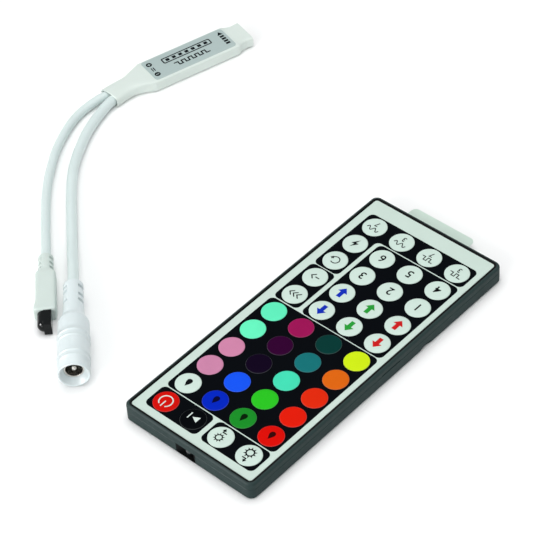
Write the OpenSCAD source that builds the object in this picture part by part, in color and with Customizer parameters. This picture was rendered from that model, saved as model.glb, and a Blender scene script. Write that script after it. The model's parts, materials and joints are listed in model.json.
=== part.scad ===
// In-line controller for an LED strip with its 44-key infrared handset.
// The origin is the middle of the handset's underside: +X runs along the handset to its
// battery end, +Y across it towards the controller, +Z up through the keys.

/* [Handset case] */
// Length of the case
case_l = 125; // [121:1:140]
// Width of the case
case_w = 55; // [52:1:62]
// Radius of the upright corners
corner_r = 2.5; // [2:0.25:4]
// Radius of the shoulder round the top
shoulder_r = 0.9; // [0.5:0.1:1.2]
// Chamfer along the foot
edge_ch = 0.5; // [0.2:0.05:0.6]
// Thickness of the side walls
wall_t = 1.5; // [1.3:0.1:2]
// Thickness of the back shell's floor
floor_t = 1; // [0.8:0.1:1.2]
// Thickness of the front plate
plate_t = 0.85; // [0.6:0.05:1.2]
// Width of the rim round the film
rim_w = 1.4; // [1.2:0.1:1.8]
// How far the rim stands above the film
rim_proud = 0.2; // [0.1:0.05:0.4]
// Width of the groove between the film and the rim
film_gap = 0.4; // [0.2:0.05:0.5]
// Radius of the corners of the film's pocket
film_r = 1.4; // [1:0.1:2]
// Thickness of the printed film
film_t = 0.2; // [0.1:0.05:0.3]

/* [Keypad] */
// From the emitter end to the middle of the first row
row_start = 9.3; // [8.5:0.1:11]
// From the battery end to the middle of the last row
row_end = 12.8; // [11:0.1:14]
// From the -Y side to the middle of the first column
col_start = 9.2; // [8.5:0.1:11]
// From the +Y side to the middle of the last column
col_end = 10.2; // [8.5:0.1:11]
// Width between the closest keys
key_space = 1.65; // [1.5:0.05:2.5]
// How far a key goes down
key_travel = 0.3; // [0.2:0.05:0.5]
// How far a key stands above the film
key_proud = 0.3; // [0.2:0.05:0.6]
// Rise of a key's crown
crown_rise = 0.25; // [0.1:0.05:0.4]
// Gap round a key in its window
key_gap = 0.1; // [0.05:0.05:0.2]
// Reach of a key's flange under the plate
flange_lip = 0.35; // [0.25:0.05:0.45]
// Thickness of a key's flange
flange_t = 0.3; // [0.2:0.05:0.5]
// Diameter of a snap dome
dome_d = 5; // [4:0.25:6]
// Height of a snap dome
dome_h = 0.28; // [0.2:0.02:0.4]

/* [Circuit board] */
// Thickness of the handset's board
pcb_t = 0.8; // [0.6:0.1:1.2]
// Gap between the board and the case walls
pcb_gap = 0.5; // [0.3:0.1:0.8]
// Diameter of the infrared emitter
emitter_d = 3; // [2.6:0.1:3]
// Place of the emitter across the case
emitter_y = 0.5; // [-4:0.1:4]
// Width of the emitter's window outside
window_w = 8.4; // [6:0.1:10]

/* [Battery drawer] */
// Diameter of the coin cell
cell_d = 20; // [19.5:0.1:20.5]
// Height of the coin cell
cell_h = 2.5; // [2.4:0.1:3.2]
// Width of the drawer
tray_w = 25; // [24:0.5:27]
// Place of the drawer across the case
tray_y = 2; // [-4:0.5:4]
// Thickness of the drawer's floor
tray_floor_t = 0.6; // [0.5:0.1:1]
// Thickness of the drawer's inner end
tray_back_t = 2.2; // [1.6:0.1:3]
// Reach of the drawer's side rails
rail_out = 0.5; // [0.3:0.05:0.7]
// Height of the drawer's side rails
rail_h = 0.6; // [0.5:0.05:0.8]
// Running clearance of the drawer
tray_gap = 0.15; // [0.1:0.05:0.2]
// Thickness of the pull tab's film
tab_t = 0.15; // [0.1:0.05:0.2]
// How far the pull tab stands out beside the drawer
tab_side = 0.75; // [0.5:0.05:1]
// Length of the pull tab outside the case
tab_out = 6; // [5:0.5:12]
// Width of the pull tab's tongue
tongue_w = 18; // [12:0.5:20]

/* [Controller] */
// Length of the controller's body
body_l = 36.5; // [36:0.5:42]
// Width of the body
body_w = 13.8; // [13.6:0.1:16]
// Height of the body
body_h = 4.7; // [4.6:0.1:6]
// Thickness of the shrunk sleeve
sleeve_t = 0.45; // [0.3:0.05:0.5]
// Length of the sleeve's neck round the leads
neck_l = 17; // [14:0.5:20]
// Width of the neck at its waist
neck_w = 8.6; // [8.5:0.1:10]
// Width of the neck's mouth
mouth_w = 9.2; // [9:0.1:11]
// Sideways bend of the neck at its mouth
neck_bend = 1.9; // [0:0.1:2.5]
// Length of the sleeve round the outlet
outlet_l = 6.5; // [5:0.5:9]
// Width of the sleeve round the outlet
outlet_w = 11.6; // [11.4:0.1:12.6]
// Height of the sleeve round the outlet
outlet_h = 4.2; // [4:0.1:4.6]
// Length of the label
label_l = 35; // [30:0.5:36]
// Thickness of the label
label_t = 0.1; // [0.05:0.05:0.2]

/* [Leads] */
// Diameter of the power lead
dc_d = 3.8; // [3.4:0.1:3.9]
// Diameter of the receiver's lead
ir_d = 3.3; // [3:0.1:3.4]
// Diameter of the power socket's barrel
barrel_d = 10.6; // [10:0.1:12]
// Length of the barrel
barrel_l = 23.5; // [20:0.5:28]
// Diameter of the socket's strain relief
relief_d = 6.9; // [6.4:0.1:7.6]
// Length of the socket's slotted strain relief
relief_l = 10.8; // [9:0.1:14]
// Diameter of the socket's centre pin
pin_d = 2; // [1.6:0.1:2.5]
// Inner diameter of the socket's metal sleeve
contact_d = 5.7; // [5.5:0.1:6]
// Width of the infrared eye's housing
eye_w = 6.9; // [6.4:0.1:8]
// Height of the housing
eye_h = 6; // [5.8:0.1:7]
// Length of the housing's straight part
eye_l = 18; // [15:0.5:22]
// How far the receiver stands out of the housing
lens_out = 6.9; // [5:0.1:8]

/* [Hidden] */
$fn = 48;

// Shared clearances: a close fit, a snug press gap and the overrun of a cut
fit = 0.05;
press_gap = 0.02;
over = 0.5;

// The keys by row from the emitter end, each row from the -Y side
key_names = [
    ["brightness_up", "brightness_down", "play_pause", "power"],
    ["red", "green", "blue", "white"],
    ["scarlet", "lime", "azure", "pink"],
    ["vermilion", "turquoise", "dark_violet", "rose"],
    ["orange", "teal", "plum", "mint"],
    ["yellow", "dark_teal", "magenta", "aqua"],
    ["red_up", "green_up", "blue_up", "quick"],
    ["red_down", "green_down", "blue_down", "slow"],
    ["custom_1", "custom_2", "custom_3", "auto"],
    ["custom_4", "custom_5", "custom_6", "flash"],
    ["jump_3", "jump_7", "fade_3", "fade_7"]
];
key_colours = [
    ["mintcream", "mintcream", "black", "red"],
    ["red", "green", "mediumblue", "mintcream"],
    ["tomato", "limegreen", "royalblue", "pink"],
    ["orangered", "mediumturquoise", "indigo", "plum"],
    ["darkorange", "teal", "purple", "aquamarine"],
    ["gold", "darkslategray", "mediumvioletred", "turquoise"],
    ["mintcream", "mintcream", "mintcream", "mintcream"],
    ["mintcream", "mintcream", "mintcream", "mintcream"],
    ["mintcream", "mintcream", "mintcream", "mintcream"],
    ["mintcream", "mintcream", "mintcream", "mintcream"],
    ["mintcream", "mintcream", "mintcream", "mintcream"]
];
rows = len(key_names);
cols = len(key_names[0]);

row_pitch = (case_l - row_start - row_end) / (rows - 1);
col_pitch = (case_w - col_start - col_end) / (cols - 1);
key_d = min(row_pitch, col_pitch) - key_space;

function key_at(r, c) = [row_start - case_l / 2 + r * row_pitch, col_start - case_w / 2 + c * col_pitch];

// The handset's stack, from the table up
contact_h = 0.35;
parting_up = 0.3;
parting_ch = 0.12;
tray_z = tray_gap;
cell_z = tray_z + tray_floor_t + fit;
tab_z = cell_z + cell_h + fit;
contact_z = tab_z + tab_t + fit;
pcb_z = contact_z + contact_h;
parting_z = pcb_z + parting_up;
dome_z = pcb_z + pcb_t;
flange_z = dome_z + dome_h + key_travel + press_gap;
plate_z = flange_z + flange_t + fit;
film_z = plate_z + plate_t;
case_h = film_z + film_t + rim_proud;
crown_z = film_z + film_t + key_proud;
tray_top = tab_z - tray_gap;
bay_top = tab_z + tab_t + tray_gap;

// Inside of the case
cavity_l = case_l - 2 * wall_t;
cavity_w = case_w - 2 * wall_t;
cavity_r = corner_r - wall_t / 2;
pcb_l = cavity_l - 2 * pcb_gap;
pcb_w = cavity_w - 2 * pcb_gap;
lap_t = (wall_t - fit) / 2;
lap_z = bay_top + fit;
ledge_w = 1;
rib_t = 1;
rib_shares = [-0.3, -0.1, 0.1];
hole_d = key_d + 2 * key_gap;
crown_steps = 7;
shoulder_steps = 4;
crown_edge = 0.75;
flange_d = hole_d + 2 * (flange_lip - key_gap);

// Emitter, lying under the board behind its window
emitter_gap = 0.1;
window_gap = 0.3;
emitter_z = lap_z - emitter_gap - emitter_d / 2;
emitter_l = 5.2;
emitter_inset = 0.7;
emitter_x = -case_l / 2 + emitter_inset;
window_in_w = emitter_d + 2 * window_gap;
wire_t = 0.45;
wire_gap = 1.27;
wire_l = 2.4;

// Pry slot and nail notch on the -Y side
slot_share = 0;
slot_l = 9;
slot_h = 0.5;
slot_deep = 0.5;
notch_share = 0.177;
notch_r = 5;
notch_deep = 0.8;
notch_h = 1.5;

// Pegs that hold the board down: the gaps between rows and between columns where they stand
peg_d = 1.8;
peg_rows = [1, 4, 8];
peg_cols = [0, 2];

// Drawer
tray_end_x = case_l / 2;
cell_x = tray_end_x - wall_t - tray_gap - cell_d / 2;
tray_x = cell_x - cell_d / 2 - tray_gap - tray_back_t;
tray_l = tray_end_x - tray_x;
rail_z = tray_z + (tray_top - tray_z - rail_h) / 2;
guide_t = 2;
stop_t = 1.4;
push_hole_d = 7;
cap_d = 17;
cap_rise = 0.2;
cell_round = 0.3;
nail_w = 9;
nail_deep = 0.8;
nail_h = 1;
spring_w = 4;
spring_t = 0.2;
spring_slot = 6;
arm_l = 12;
arm_w = 3;
arm_t = 0.15;
dimple_d = 2;
tongue_l = 18;
tab_w = tray_w + 2 * tab_side;
tab_r = 2;

// Parts under the handset's board: the size of each and where it sits, as shares of the board
chip_d = 9;
chip_h = 1.1;
chip_shares = [-0.2, 0.16];
clock_size = [5, 3, 1.8];
clock_shares = [-0.37, 0.2];
driver_size = [3, 1.4, 1.1];
driver_shares = [-0.4, -0.14];

// Controller: its place on the table and the section of its sleeve
ctrl_at = [79.8, 132.9, 0];
ctrl_turn = -15.5;
body_r = 0.9;
neck_h = 4.7;
neck_r = 2.2;
waist_share = 0.5;
waist_power = 1.6;
neck_shares = [1, 0.94, 0.8, 0.66, 0.54, 0.42, 0.31, 0.21, 0.12, 0.05, 0];
outlet_shares = [0.12, 0.3, 0.5, 1];
outlet_waist = 0.5;
outlet_pinch = 0.5;
outlet_r = 1;
corner_steps = 5;
lead_gap = 0.1;
lead_in = 1;
lead_z = neck_h / 2;
label_r = 1.3;

// Control board, with the outlet's contact block and the parts on it
board_t = 1;
board_gap = 0.25;
board_z = body_h / 2 - board_t;
board_back = 1.5;
block_pitch = 2.54;
block_count = 4;
block_l = 9.5;
block_h = 2.5;
block_hole = 0.9;
block_hole_l = 6;
block_in = 0.5;
chip_size = [8.7, 3.9, 1.5];
switch_size = [2.9, 1.4, 1.1];
switch_count = 3;
switch_pitch = 3.6;
memory_size = [4.9, 3.9, 1.5];
coil_size = [3.2, 2.5, 0.8];

// Power socket: its place and the pieces of its moulding
socket_at = [-34.1, 78.7];
socket_turn = -134.4;
band_proud = 0.2;
band_w = 0.6;
band_shares = [0.31, 0.41, 0.7, 0.8];
collar_l = 4.5;
collar_d = 7.5;
shoulder_l = 2.5;
mouth_ch = 0.4;
mouth_wall = 0.5;
mouth_deep = 2.4;
contact_t = 0.45;
contact_l = 9.6;
pin_l = 8.4;
relief_slot = 1.2;
relief_core = 1.9;
relief_slots_shares = [[0.24, -1], [0.24, 1], [0.45, -1], [0.6, 1], [0.84, 1], [0.84, -1]];
socket_z = barrel_d / 2 + band_proud;
socket_l = relief_l + collar_l + shoulder_l + barrel_l;
socket_bore_d = contact_d + 2 * contact_t;

// Infrared eye: its place and the pieces of its moulding
eye_at = [-29, 97.6];
eye_turn = -133.8;
eye_relief_l = 6.8;
eye_relief_d = 5.3;
eye_slot_shares = [0.28, 0.62, 0.94];
eye_slot = 0.9;
eye_core = 1.4;
eye_shoulder_l = 2.5;
eye_r = 1.2;
flare_l = 6;
flare_out = 0.7;
lens_w = 2.7;
lens_h = 4.8;
lens_r = 2.2;
lens_side = 0.9;
lens_deep = 3;
eye_face = eye_relief_l + eye_shoulder_l + eye_l;

// The leads' routes over the table, from the sleeve's mouth to the strain reliefs
dc_points = [
    [42, 138.4, 2.3], [37.7, 137.5, 2.1], [32, 135.7, 2], [26.1, 133.3, 2], [20.6, 130.4, 2],
    [15.1, 127.2, 2], [9.9, 123.6, 2], [5.1, 119.5, 2], [0.6, 115.2, 2], [-3.9, 110.7, 2], [-8.2, 106.2, 2],
    [-12.6, 101.7, 2], [-17, 97.1, 2.2], [-21.3, 92.5, 2.9], [-25.5, 87.8, 4], [-29.8, 83.2, 5]
];
ir_points = [
    [42, 143.2, 2.3], [37.7, 143.7, 1.9], [33.2, 143.6, 1.7], [27.7, 142.4, 1.7], [22, 140.2, 1.7],
    [16.5, 137.6, 1.7], [11.2, 134.6, 1.7], [6.2, 131.1, 1.7], [1.3, 127.5, 1.7], [-3.4, 123.6, 1.7],
    [-7.9, 119.5, 1.7], [-12.2, 115.2, 1.7], [-16.4, 110.9, 1.8], [-20.6, 106.5, 2.2], [-24.7, 102, 2.7]
];
lead_sides = 8;

// Flat and solid shapes

// A rectangle with round corners, centred on the origin
module round_rect(l, w, r) {
    square([l - 2 * r, w], center = true);
    square([l, w - 2 * r], center = true);
    for (x = [-1, 1], y = [-1, 1]) translate([x * (l / 2 - r), y * (w / 2 - r)]) circle(r);
}

module round_slab(l, w, r, z, h) {
    translate([0, 0, z]) linear_extrude(h) round_rect(l, w, r);
}

// Half of a block's outline, from its middle to a side with a chamfer below; above is a chamfer, or a round of
// the given steps
function side_points(half, z0, z1, low, high, steps) = concat(
    low > 0 ? [[half - low, z0], [half, z0 + low]] : [[half, z0]],
    high > 0 ? [for (i = [0:steps]) [half - high * (1 - cos(90 * i / steps)), z1 - high * (1 - sin(90 * i / steps))]]
        : [[half, z1]]);

function mirror_points(points) = concat(points, [for (i = [len(points) - 1:-1:0]) [-points[i][0], points[i][1]]]);

// A block with round upright corners, whose edges are chamfered below, and chamfered or rounded above
module soft_block(l, w, r, z0, z1, low, high, steps) {
    rotate([90, 0, 0])
        linear_extrude(w - 2 * r, center = true) polygon(mirror_points(side_points(l / 2, z0, z1, low, high, steps)));
    rotate([90, 0, 90])
        linear_extrude(l - 2 * r, center = true) polygon(mirror_points(side_points(w / 2, z0, z1, low, high, steps)));
    for (x = [-1, 1], y = [-1, 1])
        translate([x * (l / 2 - r), y * (w / 2 - r), 0])
            rotate_extrude() polygon(concat([[0, z0]], side_points(r, z0, z1, low, high, steps), [[0, z1]]));
}

// A box from its low corner
module box_at(at, size) {
    translate(at) cube(size);
}

// A box centred across its low face
module chip_at(at, size) {
    box_at([at[0] - size[0] / 2, at[1] - size[1] / 2, at[2]], size);
}

// The cap of a sphere, d across and h high, on the level z
module dome(d, h, z) {
    ball_r = (d * d / 4 + h * h) / (2 * h);
    intersection() {
        translate([0, 0, z + h - ball_r]) sphere(ball_r);
        translate([0, 0, z]) cylinder(d = 2 * d, h = 2 * h);
    }
}

// Sweeps: a ring of points round each place of a path, joined into one closed skin

function unit(v) = v / norm(v);

function heading(path, i) = unit(path[min(i + 1, len(path) - 1)] - path[max(i - 1, 0)]);

function tube_ring(at, dir, r) =
    let (side = unit(cross([0, 0, 1], dir)), up = cross(dir, side))
    [for (k = [0:lead_sides - 1])
        at + r * (side * cos(360 * (k + 0.5) / lead_sides) + up * sin(360 * (k + 0.5) / lead_sides))];

// Two triangles for each cell between ring i and ring i + 1, in the order that faces outwards
function skin_faces(rings, n, from, flip) = [for (i = [0:rings - 2], k = [0:n - 1], half = [0, 1])
    let (a = from + i * n + k, b = from + i * n + (k + 1) % n, c = b + n, d = a + n,
         tri = half == 0 ? [a, b, c] : [a, c, d])
    flip ? [tri[2], tri[1], tri[0]] : tri];

function fan_faces(n, from, flip) = [for (k = [1:n - 2])
    flip ? [from, from + k + 1, from + k] : [from, from + k, from + k + 1]];

// A round solid tube whose ends stand square to the given first and last headings
module lead_tube(path, first, last, r) {
    n = len(path);
    rings = [for (i = [0:n - 1]) tube_ring(path[i], i == 0 ? first : i == n - 1 ? last : heading(path, i), r)];
    polyhedron(
        points = [for (ring = rings) for (p = ring) p],
        faces = concat(skin_faces(n, lead_sides, 0, true), fan_faces(lead_sides, 0, false),
            fan_faces(lead_sides, (n - 1) * lead_sides, true)));
}

// Handset

module front_case() color("#2d3835") {
    difference() {
        soft_block(case_l, case_w, corner_r, parting_z, case_h, parting_ch, shoulder_r, shoulder_steps);
        round_slab(cavity_l, cavity_w, cavity_r, parting_z - over, plate_z - parting_z + over);
        round_slab(case_l - 2 * rim_w, case_w - 2 * rim_w, film_r, film_z, case_h - film_z + over);
        for (r = [0:rows - 1], c = [0:cols - 1])
            translate(concat(key_at(r, c), plate_z - over)) cylinder(d = hole_d, h = plate_t + 2 * over);
        box_at([slot_share * case_l, -case_w / 2 - over, parting_z - over], [slot_l, slot_deep + over, slot_h + over]);
    }
    // Tongue that drops behind the back shell's wall
    translate([0, 0, lap_z]) linear_extrude(parting_z - lap_z) difference() {
        round_rect(cavity_l + 2 * lap_t, cavity_w + 2 * lap_t, cavity_r + lap_t);
        round_rect(cavity_l, cavity_w, cavity_r);
    }
    for (r = peg_rows, c = peg_cols)
        translate(concat((key_at(r, c) + key_at(r + 1, c + 1)) / 2, dome_z))
            cylinder(d = peg_d, h = plate_z - dome_z);
}

// The window is open up to the parting line, where the front shell's tongue closes it
module window_cut() {
    sill_z = emitter_z - emitter_d / 2 - emitter_gap;
    translate([-case_l / 2, emitter_y, sill_z])
        linear_extrude(parting_z - sill_z + over) polygon([
            [-over, window_w / 2], [0, window_w / 2], [wall_t, window_in_w / 2], [wall_t + over, window_in_w / 2],
            [wall_t + over, -window_in_w / 2], [wall_t, -window_in_w / 2], [0, -window_w / 2],
            [-over, -window_w / 2]]);
}

module rail_grooves() {
    reach = tray_w / 2 + rail_out + tray_gap;
    box_at([tray_x - tray_gap, tray_y - reach, rail_z - tray_gap],
        [tray_l + tray_gap + over, 2 * reach, rail_h + 2 * tray_gap]);
}

module back_case() color("#2d3835") difference() {
    union() {
        difference() {
            soft_block(case_l, case_w, corner_r, 0, parting_z, edge_ch, parting_ch, 1);
            round_slab(cavity_l, cavity_w, cavity_r, floor_t, parting_z);
            round_slab(cavity_l + 2 * (lap_t + fit), cavity_w + 2 * (lap_t + fit), cavity_r + lap_t + fit,
                lap_z - fit, parting_z);
        }
        // Ledges along the sides and ribs across the floor carry the board
        for (y = [-1, 1])
            box_at([-pcb_l / 2 + corner_r, y * (cavity_w - ledge_w) / 2 - ledge_w / 2, floor_t],
                [pcb_l - 2 * corner_r, ledge_w, pcb_z - floor_t]);
        for (share = rib_shares)
            box_at([share * pcb_l - rib_t / 2, -cavity_w / 2, floor_t], [rib_t, cavity_w, pcb_z - floor_t]);
        // Guides beside the drawer and the stop behind it
        box_at([tray_x - tray_gap - stop_t, tray_y - tray_w / 2 - tray_gap - guide_t, 0],
            [cavity_l / 2 - tray_x + tray_gap + stop_t, tray_w + 2 * (tray_gap + guide_t), pcb_z]);
    }
    // Bay for the drawer, open below and at the end
    box_at([tray_x - tray_gap, tray_y - tray_w / 2 - tray_gap, -over],
        [tray_l + tray_gap + over, tray_w + 2 * tray_gap, bay_top + over]);
    box_at([tray_x - tray_gap, tray_y - tray_w / 2 - tray_gap, -over],
        [cavity_l / 2 - tray_x + tray_gap, tray_w + 2 * tray_gap, pcb_z + 2 * over]);
    rail_grooves();
    window_cut();
    box_at([emitter_x, emitter_y - window_in_w / 2, emitter_z - emitter_d / 2 - emitter_gap],
        [emitter_l + wire_l + over, window_in_w, pcb_z]);
    translate([notch_share * case_l, -case_w / 2 - notch_r + notch_deep, -over]) cylinder(r = notch_r, h = notch_h + over);
}

module keypad_overlay() color("honeydew") translate([0, 0, film_z]) linear_extrude(film_t) difference() {
    round_rect(case_l - 2 * (rim_w + film_gap), case_w - 2 * (rim_w + film_gap), film_r - film_gap);
    for (r = [0:rows - 1], c = [0:cols - 1]) translate(key_at(r, c)) circle(d = hole_d);
}

// The crown is a flat dome with a tighter round at its edge: a superellipse from the middle out
crown_profile = [for (i = [0:crown_steps])
    let (a = 90 * i / crown_steps)
    [key_d / 2 * pow(cos(a), crown_edge), crown_z - crown_rise + crown_rise * pow(sin(a), crown_edge)]];

module key_cap(r, c) color(key_colours[r][c]) translate(key_at(r, c))
    rotate_extrude() polygon(concat(
        [[0, flange_z], [flange_d / 2, flange_z], [flange_d / 2, flange_z + flange_t],
         [key_d / 2, flange_z + flange_t]],
        crown_profile));

module circuit_board() color("darkgreen") {
    round_slab(pcb_l, pcb_w, cavity_r, pcb_z, pcb_t);
    for (r = [0:rows - 1], c = [0:cols - 1]) translate(key_at(r, c)) dome(dome_d, dome_h, dome_z);
    translate([chip_shares[0] * pcb_l, chip_shares[1] * pcb_w, 0]) mirror([0, 0, 1]) dome(chip_d, chip_h, -pcb_z);
    chip_at([clock_shares[0] * pcb_l, clock_shares[1] * pcb_w, pcb_z - clock_size[2]], clock_size);
    chip_at([driver_shares[0] * pcb_l, driver_shares[1] * pcb_w, pcb_z - driver_size[2]], driver_size);
    // Arm over the cell's middle and spring behind its rim
    box_at([cell_x - arm_l / 2, tray_y - arm_w / 2, pcb_z - arm_t], [arm_l, arm_w, arm_t]);
    translate([cell_x, tray_y, contact_z]) cylinder(d = dimple_d, h = contact_h - arm_t);
    box_at([cell_x - cell_d / 2 - tray_gap - spring_t, tray_y - spring_w / 2, cell_z + cell_h / 2],
        [spring_t, spring_w, pcb_z - cell_z - cell_h / 2]);
}

module infrared_led() color("#3a3f46") {
    tip_r = emitter_d / 2;
    translate([emitter_x + tip_r, emitter_y, emitter_z]) sphere(tip_r);
    translate([emitter_x + tip_r, emitter_y, emitter_z]) rotate([0, 90, 0]) cylinder(r = tip_r, h = emitter_l - tip_r);
    for (y = [-1, 1]) {
        lead_y = emitter_y + y * wire_gap / 2 - wire_t / 2;
        box_at([emitter_x + emitter_l, lead_y, emitter_z - wire_t / 2], [wire_l, wire_t, wire_t]);
        box_at([emitter_x + emitter_l + wire_l - wire_t, lead_y, emitter_z - wire_t / 2],
            [wire_t, wire_t, pcb_z - emitter_z + wire_t / 2]);
    }
}

module battery_drawer() color("#27312f") difference() {
    union() {
        box_at([tray_x, tray_y - tray_w / 2, tray_z], [tray_l, tray_w, tray_top - tray_z]);
        box_at([tray_x, tray_y - tray_w / 2 - rail_out, rail_z], [tray_l - wall_t, tray_w + 2 * rail_out, rail_h]);
    }
    translate([cell_x, tray_y, tray_z + tray_floor_t]) cylinder(d = cell_d + 2 * tray_gap, h = cell_h + over);
    translate([cell_x, tray_y, tray_z - over]) cylinder(d = push_hole_d, h = tray_floor_t + 2 * over);
    box_at([tray_x - over, tray_y - spring_slot / 2, tray_z + tray_floor_t],
        [tray_back_t + tray_gap + 2 * over, spring_slot, cell_h + over]);
    box_at([tray_end_x - nail_deep, tray_y - nail_w / 2, tray_z - over], [nail_deep + over, nail_w, nail_h + over]);
}

module coin_cell() color("silver") translate([cell_x, tray_y, cell_z]) {
    can_h = cell_h - cap_rise;
    rotate_extrude() polygon([[0, 0], [cell_d / 2 - cell_round, 0], [cell_d / 2, cell_round],
        [cell_d / 2, can_h - cell_round], [cell_d / 2 - cell_round, can_h], [0, can_h]]);
    cylinder(d = cap_d, h = cell_h);
}

module pull_tab() color("#c3d3c8") translate([0, tray_y, tab_z]) linear_extrude(tab_t) {
    paddle_x = case_l / 2 + 2 * fit;
    translate([paddle_x - tongue_l, -tongue_w / 2]) square([tongue_l + fit, tongue_w]);
    translate([paddle_x, -tab_w / 2]) square([tab_out - tab_r, tab_w]);
    translate([paddle_x, -tab_w / 2 + tab_r]) square([tab_out, tab_w - 2 * tab_r]);
    for (y = [-1, 1]) translate([paddle_x + tab_out - tab_r, y * (tab_w / 2 - tab_r)]) circle(tab_r);
}

// Controller

module at_controller() translate(ctrl_at) rotate([0, 0, ctrl_turn]) children();

// Middle of the neck at a share of its length, and the angle that its section is turned by
function neck_mid(t) = [-body_l / 2 - neck_l * t, -neck_bend * t * t, 0];
function neck_angle(t) = atan(2 * neck_bend * t / neck_l);

function neck_width(t) = t < waist_share
    ? neck_w + (body_w - neck_w) * pow(1 - t / waist_share, waist_power)
    : neck_w + (mouth_w - neck_w) * pow((t - waist_share) / (1 - waist_share), 2);

function blend(a, b, t) = a + (b - a) * t;

// A section is [middle, angle, width, height, corner radius]
function neck_section(t) = [neck_mid(t), neck_angle(t), neck_width(t), blend(body_h, neck_h, min(1, t / waist_share)),
    blend(body_r, neck_r, min(1, t / waist_share))];
function outlet_section(t) = [[body_l / 2 + outlet_l * t, 0, 0], 0,
    t < outlet_waist ? blend(body_w, outlet_w - outlet_pinch, pow(t / outlet_waist, waist_share))
        : blend(outlet_w - outlet_pinch, outlet_w, (t - outlet_waist) / (1 - outlet_waist)),
    blend(body_h, outlet_h, min(1, t / outlet_waist)), blend(body_r, outlet_r, min(1, t / outlet_waist))];
sleeve_sections = concat(
    [for (t = neck_shares) neck_section(t)],
    [[[body_l / 2, 0, 0], 0, body_w, body_h, body_r]],
    [for (t = outlet_shares) outlet_section(t)]);
section_points = 4 * (corner_steps + 1);

// The section's points, drawn in from its outside by inset; the outlet stands at the body's mid height
function sleeve_ring(s, inset) =
    let (w = s[2] / 2 - inset, h = s[3] / 2 - inset, r = s[4] - inset / 2,
         mid_z = s[0][0] > body_l / 2 ? body_h / 2 : s[3] / 2)
    [for (corner = [0:3], step = [0:corner_steps])
        let (a = 90 * (corner + step / corner_steps),
             y = (corner == 0 || corner == 3 ? 1 : -1) * (w - r) + r * cos(a),
             z = (corner < 2 ? 1 : -1) * (h - r) + r * sin(a))
        s[0] + [-y * sin(s[1]), y * cos(s[1]), mid_z + z]];

module shrink_sleeve() color("#e8f0ec") at_controller() {
    n = len(sleeve_sections);
    m = section_points;
    inner = n * m;
    last = (n - 1) * m;
    polyhedron(
        points = concat(
            [for (s = sleeve_sections) for (p = sleeve_ring(s, 0)) p],
            [for (s = sleeve_sections) for (p = sleeve_ring(s, sleeve_t)) p]),
        faces = concat(
            skin_faces(n, m, 0, true),
            skin_faces(n, m, inner, false),
            [for (k = [0:m - 1], half = [0, 1]) let (j = (k + 1) % m)
                half == 0 ? [k, j, inner + j] : [k, inner + j, inner + k]],
            [for (k = [0:m - 1], half = [0, 1]) let (j = (k + 1) % m)
                half == 0 ? [last + j, last + k, inner + last + k] : [last + j, inner + last + k, inner + last + j]]));
}

// Where a lead lies in the neck: the power lead on the -Y side, the receiver's on the +Y side
dc_side = -(ir_d + lead_gap) / 2;
ir_side = (dc_d + lead_gap) / 2;
function neck_point(t, side) = neck_mid(t) + [-side * sin(neck_angle(t)), side * cos(neck_angle(t)), lead_z];
function neck_heading(t) = [-cos(neck_angle(t)), -sin(neck_angle(t)), 0];
exit_share = 1 - lead_in / neck_l;

// The same place and heading on the table
function turned(v) = [v[0] * cos(ctrl_turn) - v[1] * sin(ctrl_turn), v[0] * sin(ctrl_turn) + v[1] * cos(ctrl_turn),
    v[2]];
function lead_exit(side) = ctrl_at + turned(neck_point(exit_share, side));
exit_heading = turned(neck_heading(exit_share));

module core_in_neck(side, r) {
    steps = 6;
    start = [-body_l / 2 + board_back, side, lead_z];
    path = concat([start], [for (i = [0:steps]) neck_point(exit_share * i / steps, side)]);
    lead_tube(path, [-1, 0, 0], neck_heading(exit_share), r);
}

module control_board() color("seagreen") at_controller() {
    back_x = -body_l / 2 + board_back;
    front_x = body_l / 2 + outlet_l - block_in - block_l;
    width = body_w - 2 * (sleeve_t + board_gap);
    top_z = board_z + board_t;
    block_w = block_count * block_pitch;
    box_at([back_x, -width / 2, board_z], [body_l / 2 - board_back - back_x, width, board_t]);
    chip_at([back_x / 2, 0, top_z], chip_size);
    chip_at([back_x / 2 + chip_size[0], 0, top_z], memory_size);
    chip_at([back_x / 2, 0, board_z - coil_size[2]], coil_size);
    for (i = [0:switch_count - 1])
        chip_at([front_x - switch_size[0], (i - (switch_count - 1) / 2) * switch_pitch, top_z], switch_size);
    // Contact block, whose square sockets face out of the sleeve's end
    difference() {
        box_at([front_x, -block_w / 2, body_h / 2 - block_h / 2], [block_l, block_w, block_h]);
        for (i = [0:block_count - 1])
            box_at([front_x + block_l - block_hole_l, (i + 1 / 2) * block_pitch - block_w / 2 - block_hole / 2,
                body_h / 2 - block_hole / 2], [block_hole_l + over, block_hole, block_hole]);
    }
    core_in_neck(dc_side, dc_d / 2);
    core_in_neck(ir_side, ir_d / 2);
}

module rating_label() color("#b4c6c8") at_controller()
    round_slab(label_l, body_w - 2 * body_r, label_r, body_h, label_t);

// Leads, power socket and infrared eye

socket_heading = [cos(socket_turn), sin(socket_turn), 0];
eye_heading = [cos(eye_turn), sin(eye_turn), 0];

module dc_lead() color("#dfe8e6")
    lead_tube(concat([lead_exit(dc_side)], dc_points, [concat(socket_at, socket_z)]),
        exit_heading, socket_heading, dc_d / 2);

module ir_lead() color("#dfe8e6")
    lead_tube(concat([lead_exit(ir_side)], ir_points, [concat(eye_at, eye_h / 2)]),
        exit_heading, eye_heading, ir_d / 2);

// Turns a revolved shape so that it runs along +X
module along_x() rotate([0, 90, 0]) children();

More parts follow.
